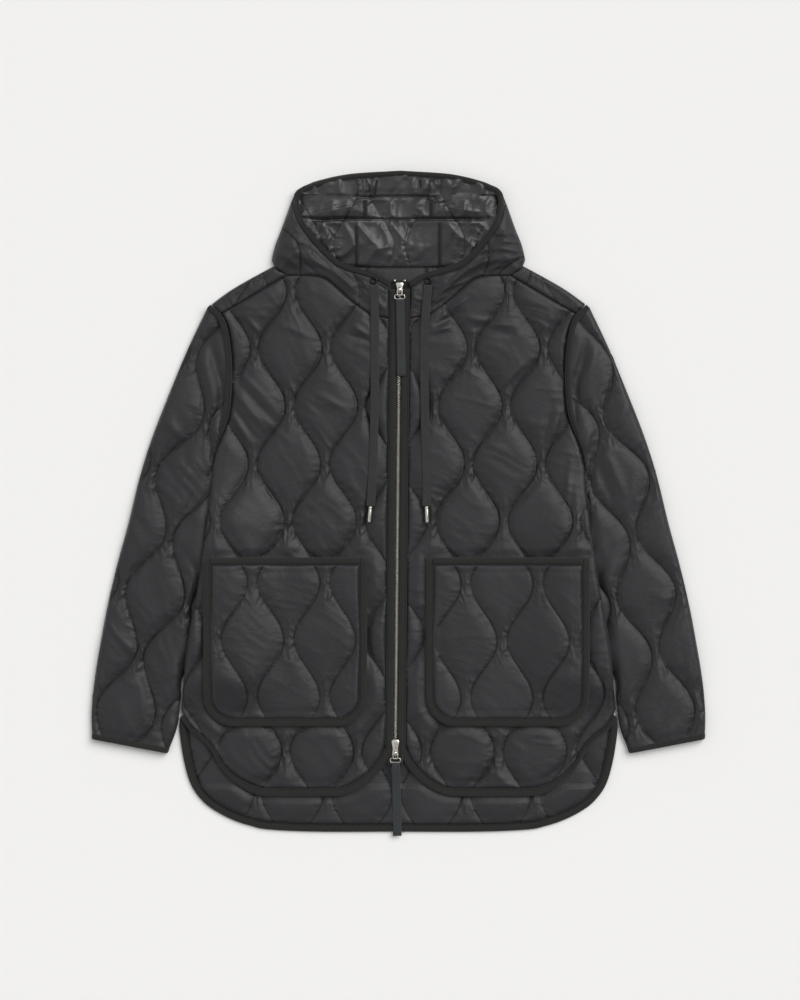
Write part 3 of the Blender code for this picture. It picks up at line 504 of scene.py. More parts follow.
def quilted_panel(quilt, outline, low, top, loft, edge_loft=1.5 * MM, cells=22, row_step=2.3 * MM,
                  excess=(0.022, 0.035), roll=(), seed=1, creases=(), rounds=140, under=0.0,
                  crumple=1.0, folds=0.8, angle=-0.8):
    """One quilted panel as upper points, faces and numbers.

    The upper face is the level `top`, less the loft, plus the loft times the puff, which also falls
    towards the outline; along the paths in `roll` it turns down to the lower face in a quarter
    round. `under` is how deep the same quilting is pressed into the lower face.
    """
    lines, rows = quilt_grid(quilt, outline, cells, row_step)
    x, y = quilt_place(quilt, lines, rows)
    closed = np.vstack([outline, outline[:1]])
    gap, near_x, near_y = nearest(x, y, closed)
    signed = np.where(within(x, y, outline), gap, -gap)
    reach = 0.5 * np.maximum(row_step, np.hypot(np.gradient(x, axis=1), np.gradient(y, axis=1)))
    keep = signed > -reach
    cells_kept = kept_cells(keep)
    start, end = open_edges(cells_kept, x.size)
    border = np.zeros(x.size, bool)
    border[start] = True
    border[end] = True
    border = border.reshape(x.shape)
    used = np.zeros(x.size, bool)
    used[cells_kept.ravel()] = True
    used = used.reshape(x.shape)
    x, y = np.where(border, near_x, x), np.where(border, near_y, y)
    inward = np.where(border, 0.0, np.maximum(signed, 0.0))
    share = puff(quilt, lines, rows)
    taper = (1.0 - (1.0 - np.clip(inward / 0.020, 0.0, 1.0)) ** 2.4) ** 0.8
    share = share * taper
    base = top(x, y) - loft
    floor_level = low(x, y)
    height = base + loft * share + edge_loft * (1.0 - eased(inward, 0.0, 0.012)) * 0.6
    for start_x, start_y, end_x, end_y, depth, width in creases:
        path = scaled([(start_x, start_y), (end_x, end_y)])
        away = path_distance(x, y, path)
        middle_x, middle_y = path.mean(axis=0)
        size = np.linalg.norm(path[1] - path[0])
        fade = np.exp(-((x - middle_x) ** 2 + (y - middle_y) ** 2) / (0.5 * size) ** 2)
        height += depth * MM * np.exp(-(away / (width * MM)) ** 2) * fade * np.sqrt(share)
    from_edge = np.clip(inward / 0.006, 0.0, 1.0)
    height += crumple * PUCKER_HEIGHT * puckers(quilt, lines, rows, seed) * from_edge
    height += folds * MM * soft_folds(x, y, angle, seed + 30) * np.clip(share * 2.2, 0.0, 1.0)
    for path, radius, bottom in roll:
        away = path_distance(x, y, path)
        arc = np.sqrt(1.0 - (1.0 - np.clip(away / radius, 0.0, 1.0)) ** 2)
        height = np.where(away < radius, bottom(x, y) + (height - bottom(x, y)) * arc, height)
    height = np.maximum(height, floor_level + 0.25 * MM)
    points = np.stack([x, y, height], axis=-1)
    on_line = np.abs(lines - np.round(lines)) < 1e-6
    free = (used & ~border & ~on_line).astype(float)
    uneven = ripple(x, y, 0.016, seed) * 0.35 * MM + ripple(x, y, 0.042, seed + 1) * 0.25 * MM
    started = points.copy()
    started[..., 2] += uneven * free * np.sqrt(np.clip(share, 0.0, 1.0))
    relaxed = relax_from(points, started, height, free, excess, rounds)
    shift = np.clip(relaxed - points, -3.0 * MM, 3.0 * MM)
    points = points + shift * free[..., None]
    points[..., 2] = np.maximum(points[..., 2], floor_level + 0.25 * MM)
    lower = points.copy()
    lower[..., 2] = floor_level + under * (1.0 - share)
    lower[..., 2] = np.minimum(lower[..., 2], points[..., 2] - 0.2 * MM)
    distance = stitch_distance(quilt, lines, rows)[0]
    numbers = {"stitch": distance.ravel(), "along": rows.ravel(), "edge": inward.ravel()}
    return closed_sheet(points.reshape(-1, 3), lower.reshape(-1, 3), cells_kept, numbers)


def relax_from(rest, started, target, free, excess, rounds):
    """Relaxes cloth from an uneven start, with its thread lengths read from the even one.

    Each thread is let out by its share of `excess` and moves its two ends towards its own length,
    round after round; the free points also settle towards their neighbours and the even height.
    """
    size = free.shape
    moved = started.copy()
    along, across = excess
    pairs = []
    for step, stretch, strength in (((1, 0), 1 + along, 0.9), ((0, 1), 1 + across, 0.9),
                                    ((1, 1), 1 + (along + across) / 2, 0.35),
                                    ((1, -1), 1 + (along + across) / 2, 0.35)):
        for parity in (0, 1):
            rows, columns = size
            if step == (0, 1):
                first = (slice(None), slice(parity, columns - 1, 2))
                second = (slice(None), slice(parity + 1, columns, 2))
            else:
                low_columns = {0: slice(None), 1: slice(0, columns - 1), -1: slice(1, columns)}[step[1]]
                high_columns = {0: slice(None), 1: slice(1, columns), -1: slice(0, columns - 1)}[step[1]]
                first = (slice(parity, rows - 1, 2), low_columns)
                second = (slice(parity + 1, rows, 2), high_columns)
            ends = free[first] + free[second]
            length = np.linalg.norm(rest[second] - rest[first], axis=-1) * stretch
            share = np.where(ends > 0, strength / np.maximum(ends, 1.0), 0.0)
            pairs.append((first, second, length, share * free[first], share * free[second]))
    for _ in range(rounds):
        for first, second, length, near, far in pairs:
            thread = moved[second] - moved[first]
            now = np.sqrt(np.einsum("...i,...i->...", thread, thread)) + 1e-12
            give = 1.0 - length / now
            moved[first] += thread * (give * near)[..., None]
            moved[second] -= thread * (give * far)[..., None]
        lift = moved[..., 2] - target
        inner = lift[1:-1, 1:-1]
        around = (lift[:-2, 1:-1] + lift[2:, 1:-1] + lift[1:-1, :-2] + lift[1:-1, 2:]) / 4
        moved[1:-1, 1:-1, 2] += (0.25 * (around - inner) - 0.02 * inner) * free[1:-1, 1:-1]
    return moved


def level(height):
    """A height on the body, lifted where its sides lie on the sleeves."""
    def read(x, y):
        return height + body_rise(x, y)
    return read


def flat(height):
    """The same height everywhere."""
    def read(x, y):
        return np.full(np.shape(x), float(height))
    return read


# ---------------------------------------------------------------- carried profiles

def tube_faces(count, size):
    """The faces of a bar of `count` rings of `size` points: quads round its sides and across its ends."""
    ring = np.arange(size)
    here = (np.arange(count - 1) * size)[:, None]
    a, b = here + ring, here + np.roll(ring, -1)
    sides = np.stack([a, b, b + size, a + size], axis=-1).reshape(-1, 4)
    k = np.arange(size // 2 - 1)
    first = np.column_stack([k, size - 1 - k, size - 2 - k, k + 1])
    last = first[:, ::-1] + (count - 1) * size
    return np.vstack([sides, first, last])


def loop_faces(count, size):
    """The faces of a closed loop of `count` rings of `size` points, its last ring joined to its first."""
    index = np.arange(size)
    here = (np.arange(count) * size)[:, None]
    there = (np.roll(np.arange(count), -1) * size)[:, None]
    faces = [here + index, here + np.roll(index, -1), there + np.roll(index, -1), there + index]
    return np.stack(faces, axis=-1).reshape(-1, 4)


def unstitched(points):
    """The numbers of a piece with no stitching: its points count as far from any."""
    return {"along": np.zeros(len(points)), "stitch": np.full(len(points), NO_STITCH)}


def swept(path, across, up, profile):
    """A closed profile carried along a path: each station places it on its two directions."""
    points = (path[:, None, :] + across[:, None, :] * profile[None, :, :1]
              + up[:, None, :] * profile[None, :, 1:2]).reshape(-1, 3)
    return points, tube_faces(len(path), len(profile))


def facing_out(made):
    """Turns every face of a closed mesh outwards."""
    mesh = bmesh.new()
    mesh.from_mesh(made.data)
    bmesh.ops.recalc_face_normals(mesh, faces=mesh.faces)
    mesh.to_mesh(made.data)
    mesh.free()
    return made


def bound_strip(path, near, far, low, top, dome=2.2 * MM, seed=0, crown=0.6 * MM, count=12):
    """A binding: a tape folded over an edge, as a low dome across, with its stitching pressed in.

    Across the strip the height is the level less the dome, plus the dome times the root of one less
    the square of the place across (a half ellipse), with a narrow groove beside the inner edge.
    """
    left = left_of(path)
    across = np.linspace(-1.0, 1.0, count)
    near, far = np.broadcast_to(near, len(path))[:, None], np.broadcast_to(far, len(path))[:, None]
    place = (near + far) / 2 + (far - near) / 2 * across
    x = path[:, :1] + left[:, :1] * place
    y = path[:, 1:] + left[:, 1:] * place
    bulge = (1.0 - np.abs(across) ** 2.6) ** 0.6
    seam = far - 2.0 * MM * np.sign(far - near)
    groove = 0.8 * MM * np.exp(-((place - seam) / (0.8 * MM)) ** 2)
    reach = np.concatenate([[0.0], np.cumsum(np.linalg.norm(np.diff(path, axis=0), axis=1))])
    still = reach * 0
    wave = (0.22 * MM * ripple(reach, still, 0.034, seed + 3)
            + 0.12 * MM * ripple(reach, still, 0.011, seed + 4))
    height = top(x, y) + crown - dome + dome * bulge - groove + wave[:, None] * bulge
    floor_level = low(x, y)
    upper = np.stack([x, y, height], axis=-1).reshape(-1, 3)
    lower = np.stack([x, y, np.minimum(floor_level, height - 0.3 * MM)], axis=-1).reshape(-1, 3)
    cells = kept_cells(np.ones(x.shape, bool))
    ahead, side = path[1] - path[0], left[0]
    if ahead[0] * side[1] - ahead[1] * side[0] > 0:
        cells = cells[:, ::-1]
    numbers = {"along": np.repeat(reach, count), "across": place.ravel(),
               "stitch": np.abs(place - seam).ravel()}
    return closed_sheet(upper, lower, cells, numbers)


# ---------------------------------------------------------------- finishes

def linear(code):
    """An sRGB hex colour as linear red, green, blue and alpha."""
    parts = [int(code[k:k + 2], 16) / 255 for k in (1, 3, 5)]
    return (*(c / 12.92 if c <= 0.04045 else ((c + 0.055) / 1.055) ** 2.4 for c in parts), 1.0)


def new_finish(name, colour, roughness, **more):
    """A Principled material with plain numbers on its own sockets; returns it with its tree and shader."""
    made = bpy.data.materials.new(name)
    made.use_nodes = True
    shader = made.node_tree.nodes["Principled BSDF"]
    shader.inputs["Base Color"].default_value = linear(colour)
    shader.inputs["Roughness"].default_value = roughness
    for key, value in more.items():
        shader.inputs[key.replace("_", " ")].default_value = value
    return made, made.node_tree, shader


def node(tree, kind, settings=None, links=None):
    """Adds a node, with its properties or input values set and its inputs linked."""
    made = tree.nodes.new(kind)
    for key, value in (settings or {}).items():
        if isinstance(key, str) and hasattr(made, key):
            setattr(made, key, value)
        else:
            made.inputs[key].default_value = value
    for key, source in (links or {}).items():
        tree.links.new(source, made.inputs[key])
    return made


def shell_nylon(name, specular, smoothest, roughest):
    """Calendered nylon taffeta over wadding: near black, with a soft silky gloss along its folds.

    The stitched lines carry painted shade: darker where the cloth turns down into them; a fine
    weave and small crumples break the gloss. The weave's bands are about 1.3 mm apart, coarser than real,
    to show.
    """
    made, tree, shader = new_finish(name, "#252527", roughest, Specular_IOR_Level=specular,
                                    Sheen_Weight=0.12, Sheen_Roughness=0.4)
    place = node(tree, "ShaderNodeTexCoord").outputs["Object"]
    stitch = node(tree, "ShaderNodeAttribute", {"attribute_name": "stitch"}).outputs["Fac"]
    # Painted shade: within about 2.6 mm of a stitched line the base colour is mixed towards near black.
    line = node(tree, "ShaderNodeMapRange", {"interpolation_type": "SMOOTHSTEP", 1: 0.0005, 2: 0.0026,
                                             3: 0.0, 4: 1.0}, {0: stitch})
    cloud = node(tree, "ShaderNodeTexNoise", {"Scale": 9.0, "Detail": 3.0}, {"Vector": place})
    tint = node(tree, "ShaderNodeValToRGB", None, {0: cloud.outputs[0]})
    for stop, position, shade in zip(tint.color_ramp.elements, (0.3, 0.7), ("#212123", "#29292b")):
        stop.position = position
        stop.color = linear(shade)
    stitch_shade_mix = node(tree, "ShaderNodeMix", {"data_type": "RGBA"}, {0: line.outputs[0], 7: tint.outputs[0]})
    stitch_shade_mix.inputs[6].default_value = linear("#0c0c0c")
    tree.links.new(stitch_shade_mix.outputs[2], shader.inputs["Base Color"])
    rough = node(tree, "ShaderNodeMapRange", {1: 0.3, 2: 0.7, 3: smoothest, 4: roughest},
                 {0: cloud.outputs[0]})
    tree.links.new(rough.outputs[0], shader.inputs["Roughness"])
    along = node(tree, "ShaderNodeAttribute", {"attribute_name": "along"}).outputs["Fac"]
    run_off = node(tree, "ShaderNodeMath", {"operation": "MULTIPLY", 1: 55.0}, {0: stitch})
    run_on = node(tree, "ShaderNodeMath", {"operation": "MULTIPLY", 1: 165.0}, {0: along})
    gather = node(tree, "ShaderNodeCombineXYZ", None, {0: run_off.outputs[0], 1: run_on.outputs[0]})
    puckered = node(tree, "ShaderNodeTexNoise", {"Scale": 1.0, "Detail": 2.0, "Distortion": 0.5},
                    {"Vector": gather.outputs[0]})
    near = node(tree, "ShaderNodeMapRange", {"interpolation_type": "SMOOTHSTEP", 1: 0.001, 2: 0.012, 3: 1.0,
                                             4: 0.0}, {0: stitch})
    patch = node(tree, "ShaderNodeTexNoise", {"Scale": 38.0, "Detail": 1.0}, {"Vector": place})
    some = node(tree, "ShaderNodeMapRange", {1: 0.42, 2: 0.66, 3: 0.10, 4: 1.0}, {0: patch.outputs[0]})
    product = {"operation": "MULTIPLY"}
    there = node(tree, "ShaderNodeMath", product, {0: near.outputs[0], 1: some.outputs[0]})
    drawn = node(tree, "ShaderNodeMath", product, {0: puckered.outputs[0], 1: there.outputs[0]})
    crumple = node(tree, "ShaderNodeTexNoise", {"Scale": 110.0, "Detail": 3.0, "Distortion": 0.8},
                   {"Vector": place})
    weave = node(tree, "ShaderNodeTexWave", {"bands_direction": "DIAGONAL", "Scale": 350.0},
                 {"Vector": place})
    fine = node(tree, "ShaderNodeBump", {"Strength": 0.12, "Distance": 0.0004},
                {"Height": weave.outputs[1]})
    soft = node(tree, "ShaderNodeBump", {"Strength": 0.35, "Distance": 0.0012},
                {"Height": crumple.outputs[0], "Normal": fine.outputs[0]})
    pulled = node(tree, "ShaderNodeBump", {"Strength": 0.75, "Distance": 0.0018},
                  {"Height": drawn.outputs[0], "Normal": soft.outputs[0]})
    tree.links.new(pulled.outputs[0], shader.inputs["Normal"])
    return made


def grosgrain(name, colour, rib, roughness=0.85):
    """Polyester grosgrain tape: matt, with fine ribs across it, so it never shines like the shell."""
    made, tree, shader = new_finish(name, colour, roughness, Specular_IOR_Level=0.25, Sheen_Weight=0.12,
                                    Sheen_Roughness=0.6)
    along = node(tree, "ShaderNodeAttribute", {"attribute_name": "along"}).outputs["Fac"]
    turns = node(tree, "ShaderNodeMath", {"operation": "MULTIPLY", 1: 2 * math.pi / rib}, {0: along})
    ribs = node(tree, "ShaderNodeMath", {"operation": "SINE"}, {0: turns.outputs[0]})
    stitch = node(tree, "ShaderNodeAttribute", {"attribute_name": "stitch"}).outputs["Fac"]
    # Painted shade: along the stitch groove the tape's colour drops to under half.
    line = node(tree, "ShaderNodeMapRange", {"interpolation_type": "SMOOTHSTEP", 1: 0.0002, 2: 0.0010,
                                             3: 0.0, 4: 1.0}, {0: stitch})
    place = node(tree, "ShaderNodeTexCoord").outputs["Object"]
    cloud = node(tree, "ShaderNodeTexNoise", {"Scale": 60.0, "Detail": 4.0}, {"Vector": place})
    tint = node(tree, "ShaderNodeValToRGB", None, {0: cloud.outputs[0]})
    base = np.array(linear(colour))
    tint.color_ramp.elements[0].color = (*(base[:3] * 0.8), 1.0)
    tint.color_ramp.elements[1].color = (*(base[:3] * 1.25), 1.0)
    stitch_shade_mix = node(tree, "ShaderNodeMix", {"data_type": "RGBA"}, {0: line.outputs[0], 7: tint.outputs[0]})
    stitch_shade_mix.inputs[6].default_value = (*(base[:3] * 0.45), 1.0)
    tree.links.new(stitch_shade_mix.outputs[2], shader.inputs["Base Color"])
    bump = node(tree, "ShaderNodeBump", {"Strength": 0.35, "Distance": 0.0003}, {"Height": ribs.outputs[0]})
    rough = node(tree, "ShaderNodeBump", {"Strength": 0.25, "Distance": 0.0005},
                 {"Height": cloud.outputs[0], "Normal": bump.outputs[0]})
    tree.links.new(rough.outputs[0], shader.inputs["Normal"])
    return made


def nickel_plate(name, colour):
    """Nickel-plated brass: bright warm grey metal with faint handling marks in its polish."""
    made, tree, shader = new_finish(name, colour, 0.28, Metallic=1.0)
    place = node(tree, "ShaderNodeTexCoord").outputs["Object"]
    marks = node(tree, "ShaderNodeTexNoise", {"Scale": 700.0, "Detail": 3.0}, {"Vector": place})
    rough = node(tree, "ShaderNodeMapRange", {1: 0.3, 2: 0.7, 3: 0.20, 4: 0.38}, {0: marks.outputs[0]})
    tree.links.new(rough.outputs[0], shader.inputs["Roughness"])
    bump = node(tree, "ShaderNodeBump", {"Strength": 0.08, "Distance": 0.0002},
                {"Height": marks.outputs[0]})
    tree.links.new(bump.outputs[0], shader.inputs["Normal"])
    return made


def black_lacquer():
    """Black lacquered brass of the eyelets: dark, with a small sharp gloss."""
    made, tree, shader = new_finish("black_lacquered_brass", "#1b1b1b", 0.3, Metallic=0.6)
    place = node(tree, "ShaderNodeTexCoord").outputs["Object"]
    marks = node(tree, "ShaderNodeTexNoise", {"Scale": 900.0}, {"Vector": place})
    rough = node(tree, "ShaderNodeMapRange", {1: 0.3, 2: 0.7, 3: 0.25, 4: 0.42}, {0: marks.outputs[0]})
    tree.links.new(rough.outputs[0], shader.inputs["Roughness"])
    return made


def studio_paper():
    """Seamless studio paper: plain, pale and matt."""
    return new_finish("studio_paper", "#f3f2f0", 0.95, Specular_IOR_Level=0.1)[0]


# ---------------------------------------------------------------- camera, light and floor

def studio():
    """A plain pale floor, a camera straight above, a soft key from the upper right and a wide fill."""
    scene = bpy.context.scene
    scene.view_settings.view_transform = "Standard"
    scene.view_settings.look = "None"
    camera = bpy.data.objects.new("camera", bpy.data.cameras.new("camera"))
    camera.data.sensor_width = 36.0
    camera.data.lens = 36.0 * 4.0 / 1.4
    camera.location = (0.0021, 0.0049, 4.0)
    camera.data.clip_end = 50.0
    scene.collection.objects.link(camera)
    scene.camera = camera
    for name, place, spread, strength in (("key", (1.25, 1.15, 1.90), 48.0, 2.32),
                                          ("fill", (-1.60, 0.20, 1.60), 90.0, 0.75)):
        light = bpy.data.lights.new(name, "SUN")
        light.angle, light.energy = math.radians(spread), strength
        lamp = bpy.data.objects.new(name, light)
        lamp.location = place
        lamp.rotation_mode = "QUATERNION"
        lamp.rotation_quaternion = Vector([-value for value in place]).to_track_quat("-Z", "Y")
        scene.collection.objects.link(lamp)
    world = bpy.data.worlds.new("studio")
    world.use_nodes = True
    world.node_tree.nodes["Background"].inputs[0].default_value = linear("#f2f3f6")
    world.node_tree.nodes["Background"].inputs[1].default_value = 0.30
    scene.world = world
    size = 6.0
    corners = np.array([(-size, -size, 0), (size, -size, 0), (size, size, 0), (-size, size, 0)])
    floor = mesh_object("floor", corners, [(0, 1, 2, 3)], studio_paper())


# ---------------------------------------------------------------- cords

def ribbon(path, width, thickness, ribs, depth):
    """A woven flat strip: a rounded rectangle with small ribs along it, carried along a path."""
    along = np.gradient(path, axis=0)
    along /= np.linalg.norm(along, axis=1)[:, None]
    across = np.column_stack([-along[:, 1], along[:, 0], np.zeros(len(path))])
    across /= np.linalg.norm(across, axis=1)[:, None]
    up = np.cross(along, across)
    steps = 4 * ribs + 1
    place = np.linspace(-1.0, 1.0, steps)
    bulge = thickness / 2 * (1.0 - np.abs(place) ** 6) ** 0.5
    wave = depth * (np.cos(place * math.pi * ribs) - 1.0) / 2 * (1.0 - np.abs(place) ** 6)
    upper = np.column_stack([place * width / 2, bulge + wave])
    lower = upper[1:-1][::-1] * (1.0, -1.0)
    profile = np.vstack([upper, lower])
    points, faces = swept(path, across, up, profile)
    reach = np.concatenate([[0.0], np.cumsum(np.linalg.norm(np.diff(path, axis=0), axis=1))])
    size = len(profile)
    numbers = {"along": np.repeat(reach, size), "across": np.tile(profile[:, 0], len(path)),
               "stitch": np.full(len(points), NO_STITCH)}
    return points, faces, numbers


def turned(path, radii, sides=20):
    """A round bar along a path whose radius changes from station to station."""
    along = np.gradient(path, axis=0)
    along /= np.linalg.norm(along, axis=1)[:, None]
    across = np.cross(along, (0.0, 0.0, 1.0))
    across /= np.linalg.norm(across, axis=1)[:, None]
    up = np.cross(across, along)
    turn = np.arange(sides) * 2 * math.pi / sides
    ring = (across[:, None] * np.cos(turn)[None, :, None] + up[:, None] * np.sin(turn)[None, :, None])
    points = (path[:, None] + ring * np.asarray(radii)[:, None, None]).reshape(-1, 3)
    return points, tube_faces(len(path), sides), unstitched(points)


def cord_level(x, y):
    """The height of a drawcord's middle line: on the hood's fold, then on the front."""
    carried = np.where(y > 0.262, flap_top(x, y), FRONT_TOP) + 2.0 * MM * (1.0 - eased(y, 0.262, 0.290))
    return carried + SEAM_GAP + CORD_THICKNESS / 2


def drawcords(braid, metal, lacquer):
    """Flat woven cords from the eyelets down the front, each with a crimped metal tip."""
    for side in ("left", "right"):
        flat_path = smoothed(scaled(DRAWCORDS[side]), 0.003)
        height = cord_level(flat_path[:, 0], flat_path[:, 1])
        path = np.column_stack([flat_path, height])
        strip = ribbon(path, CORD_WIDTH, CORD_THICKNESS, 5, 0.45 * MM)
        cord = facing_out(joined(f"woven_drawcord_{side}", [strip], braid))
        end, far = path[-1, :2], scaled(TIPS[side])
        ahead = (far - end) / np.linalg.norm(far - end)
        reach = np.linalg.norm(far - end)
        share = np.array([0.0, 0.01, 0.05, 0.12, 0.16, 0.2, 0.5, 0.8, 0.84, 0.9, 0.97, 1.0])
        size = np.array([0.75, 0.92, 1.0, 1.0, 0.93, 1.0, 1.0, 1.0, 0.94, 1.0, 0.9, 0.7]) * TIP_DIAMETER / 2
        middle = np.column_stack([end + ahead * (share * reach)[:, None],
                                  np.full(len(share), FRONT_TOP + 1.2 * MM + TIP_DIAMETER / 2)])
        tip = facing_out(joined(f"crimped_tip_{side}", [turned(middle, size)], metal))
        eyelet_x, eyelet_y = scaled(EYELETS[side])
        around = np.linspace(0, 2 * math.pi, 41)
        low = float(flap_top(np.array(eyelet_x), np.array(eyelet_y + 0.005))) + SEAM_GAP
        ring_path = np.column_stack([eyelet_x + EYELET_RADIUS * np.cos(around),
                                     eyelet_y + EYELET_RADIUS * np.sin(around),
                                     np.full(41, low + 0.6 * MM)])
        wire = closed_wire(ring_path[:-1], 1.2 * MM)
        ring = facing_out(joined(f"pressed_eyelet_{side}", [wire], lacquer))
        dress(cord, "cord_braid", "jacket", f"drawcord_{side}")
        dress(tip, "nickel", "jacket", f"cord_tip_{side}")
        dress(ring, "black_metal", "jacket", f"eyelet_{side}")


def closed_wire(path, radius, sides=12):
    """A wire round a closed path: a circle carried round it, its last station joined to its first."""
    along = np.roll(path, -1, axis=0) - np.roll(path, 1, axis=0)
    along /= np.linalg.norm(along, axis=1)[:, None]
    up = np.tile((0.0, 0.0, 1.0), (len(path), 1))
    across = np.cross(along, up)
    across /= np.linalg.norm(across, axis=1)[:, None]
    turn = np.arange(sides) * 2 * math.pi / sides
    ring = across[:, None] * np.cos(turn)[None, :, None] + up[:, None] * np.sin(turn)[None, :, None]
    points = (path[:, None] + ring * radius).reshape(-1, 3)
    return points, loop_faces(len(path), sides), {}


# ---------------------------------------------------------------- the garment's panels

def dress(piece, slot, body, *old):
    """Puts a piece on its body, in place of the model's plain solids; its slot is not used."""
    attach(piece, body)
    if old:
        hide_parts(*old)
    return piece


def hem_binding_width(path):
    """The width of the front's binding at each point of its edge: it turns under at the outer corner."""
    return np.interp(np.abs(path[:, 0]), (0.205, 0.250, 0.305), (BINDING, 6.5 * MM, 5.0 * MM))


def front_outline():
    """The +X front inside its bindings, in counter-clockwise order."""
    edge = smoothed(scaled(FRONT_EDGE[1:]), 0.006)
    bound = edge + left_of(edge) * hem_binding_width(edge)[:, None]
    side = smoothed(scaled(BODY_SIDE), 0.010)
    armhole = smoothed(scaled(ARMHOLE)[:-1], 0.008)
    neck = smoothed(scaled(NECK_SEAM)[:-1], 0.008)
    start = np.array([[EDGE_START + BINDING, 0.2595]])
    return np.vstack([start, bound, side[1:], armhole[1:], neck])


# Single creases in millimetres: start x, y, end x, y, height (a hollow when negative) and width
FRONT_CREASES = {
    "left": [(-236, 166, -186, 104, 2.2, 4.2), (-240, 148, -200, 92, -2.0, 4.2),
             (-230, 176, -172, 112, -1.8, 4), (-238, 132, -206, 82, 1.9, 4),
             (-224, 186, -178, 140, 1.5, 4), (-170, 252, -120, 232, 1.4, 5),
             (-112, 152, -70, 130, 1.3, 5), (-215, 262, -188, 232, 1.6, 4),
             (-95, 45, -60, 18, 1.2, 5), (-190, 120, -150, 84, 1.2, 5),
             (-66, 250, -44, 236, 2.2, 4), (-70, 236, -40, 226, -1.8, 4)],
    "right": [(225, 130, 206, 60, 1.8, 4.5), (215, 140, 196, 70, -1.6, 4.5),
              (100, 92, 150, 74, 1.2, 5), (100, 258, 165, 246, 2.2, 5),
              (108, 246, 160, 236, -1.6, 4.5), (240, 60, 232, -10, 1.6, 4),
              (60, 262, 92, 286, 2.4, 4), (52, 250, 90, 268, -2.4, 4), (48, 240, 84, 250, 2.0, 4),
              (180, 200, 140, 160, 1.2, 5), (200, 30, 160, -20, 1.2, 5)],
}
FLAP_CREASES = {
    "left": [(-92, 328, -60, 296, 2.4, 3.4), (-84, 329, -53, 298, -2.2, 3),
             (-76, 326, -47, 297, 2.2, 3), (-69, 322, -43, 293, -1.8, 3),
             (-140, 370, -110, 332, 1.8, 6), (-160, 350, -120, 326, -1.4, 6)],
    "right": [(104, 356, 150, 364, 2.0, 4), (100, 346, 156, 350, -1.8, 4),
              (110, 336, 152, 341, 1.8, 4), (60, 296, 92, 326, 1.8, 4),
              (52, 292, 80, 318, -1.6, 3.5), (120, 384, 150, 372, 1.6, 4)],
}
SLEEVE_CREASES = {
    "left": [(-262, 226, -247, 160, -5.0, 6.5), (-248, 178, -245, 108, -5.0, 6.5),
             (-276, 222, -262, 150, 2.0, 6), (-262, 120, -248, 60, 2.4, 7),
             (-272, 40, -300, -20, -2.0, 6), (-284, 60, -312, 10, 1.8, 7),
             (-300, -60, -262, -130, -2.0, 6), (-310, -80, -280, -150, 1.8, 7),
             (-340, 130, -300, 90, 1.6, 7)],
    "right": [(262, 226, 247, 160, -5.0, 6.5), (248, 178, 245, 108, -5.0, 6.5),
              (276, 222, 262, 150, 2.0, 6), (268, 110, 252, 50, 2.4, 7), (276, 60, 300, 0, -2.4, 6),
              (290, 70, 316, 10, 2.0, 7), (296, -60, 262, -140, -2.0, 6),
              (306, -80, 276, -150, 1.8, 7), (330, 160, 300, 100, 1.8, 7)],
}


def fronts(shell, tape):
    """The two fronts, with the bindings down their front edges and round their hems."""
    for side, turn in side_turns():
        outline = leaned(turn(front_outline()))
        edge = turn(smoothed(scaled(BODY_SIDE), 0.008))
        pocket = turn(pocket_outline(0.0)) + (zip_line((POCKET_UPPER + POCKET_LOWER) / 2 * MM), 0.0)
        rim = np.vstack([pocket, pocket[:1]])

        def upper(x, y):
            outside = np.where(within(x, y, pocket), 0.0, path_distance(x, y, rim))
            swell = 1.2 * MM * (lattice_noise(x / 0.120 + 2.0, y / 0.150 + 1.0, 139) - 0.5)
            return FRONT_TOP + body_rise(x, y) + TOP_CLEAR + (2.0 * MM + swell) * eased(outside, 0.0, 0.014)

        panel = quilted_panel(FRONT_QUILTS[side], outline, level(FRONT_LOW), upper, 7.0 * MM,
                              edge_loft=3.6 * MM, roll=[(edge, 8.0 * MM, level(FRONT_LOW))],
                              cells=24, row_step=2.15 * MM,
                              angle=-0.85 if side == "left" else -0.35,
                              seed=11 if side == "left" else 23, creases=FRONT_CREASES[side])
        piece = joined(f"quilted_front_{side}", [panel], shell)
        dress(piece, "quilted_shell", "jacket", f"front_{side}")
        path = smoothed(scaled(FRONT_EDGE), 0.004)
        path = np.vstack([[(path[0, 0], FRONT_BINDING_TOP)], path[1:]])
        path = np.vstack([np.linspace(path[0], path[1], 12)[:-1], path[1:]])
        sign = 1.0 if side == "right" else -1.0
        strip = bound_strip(leaned(path * (sign, 1)), 0.0, sign * hem_binding_width(path),
                            level(FRONT_LOW + 1.1 * MM), level(FRONT_TOP + SEAM_GAP), seed=31,
                            crown=0.1 * MM)
        binding = facing_out(joined(f"bound_edge_{side}", [strip], tape))
        dress(binding, "binding_tape", "jacket", f"front_binding_{side}")


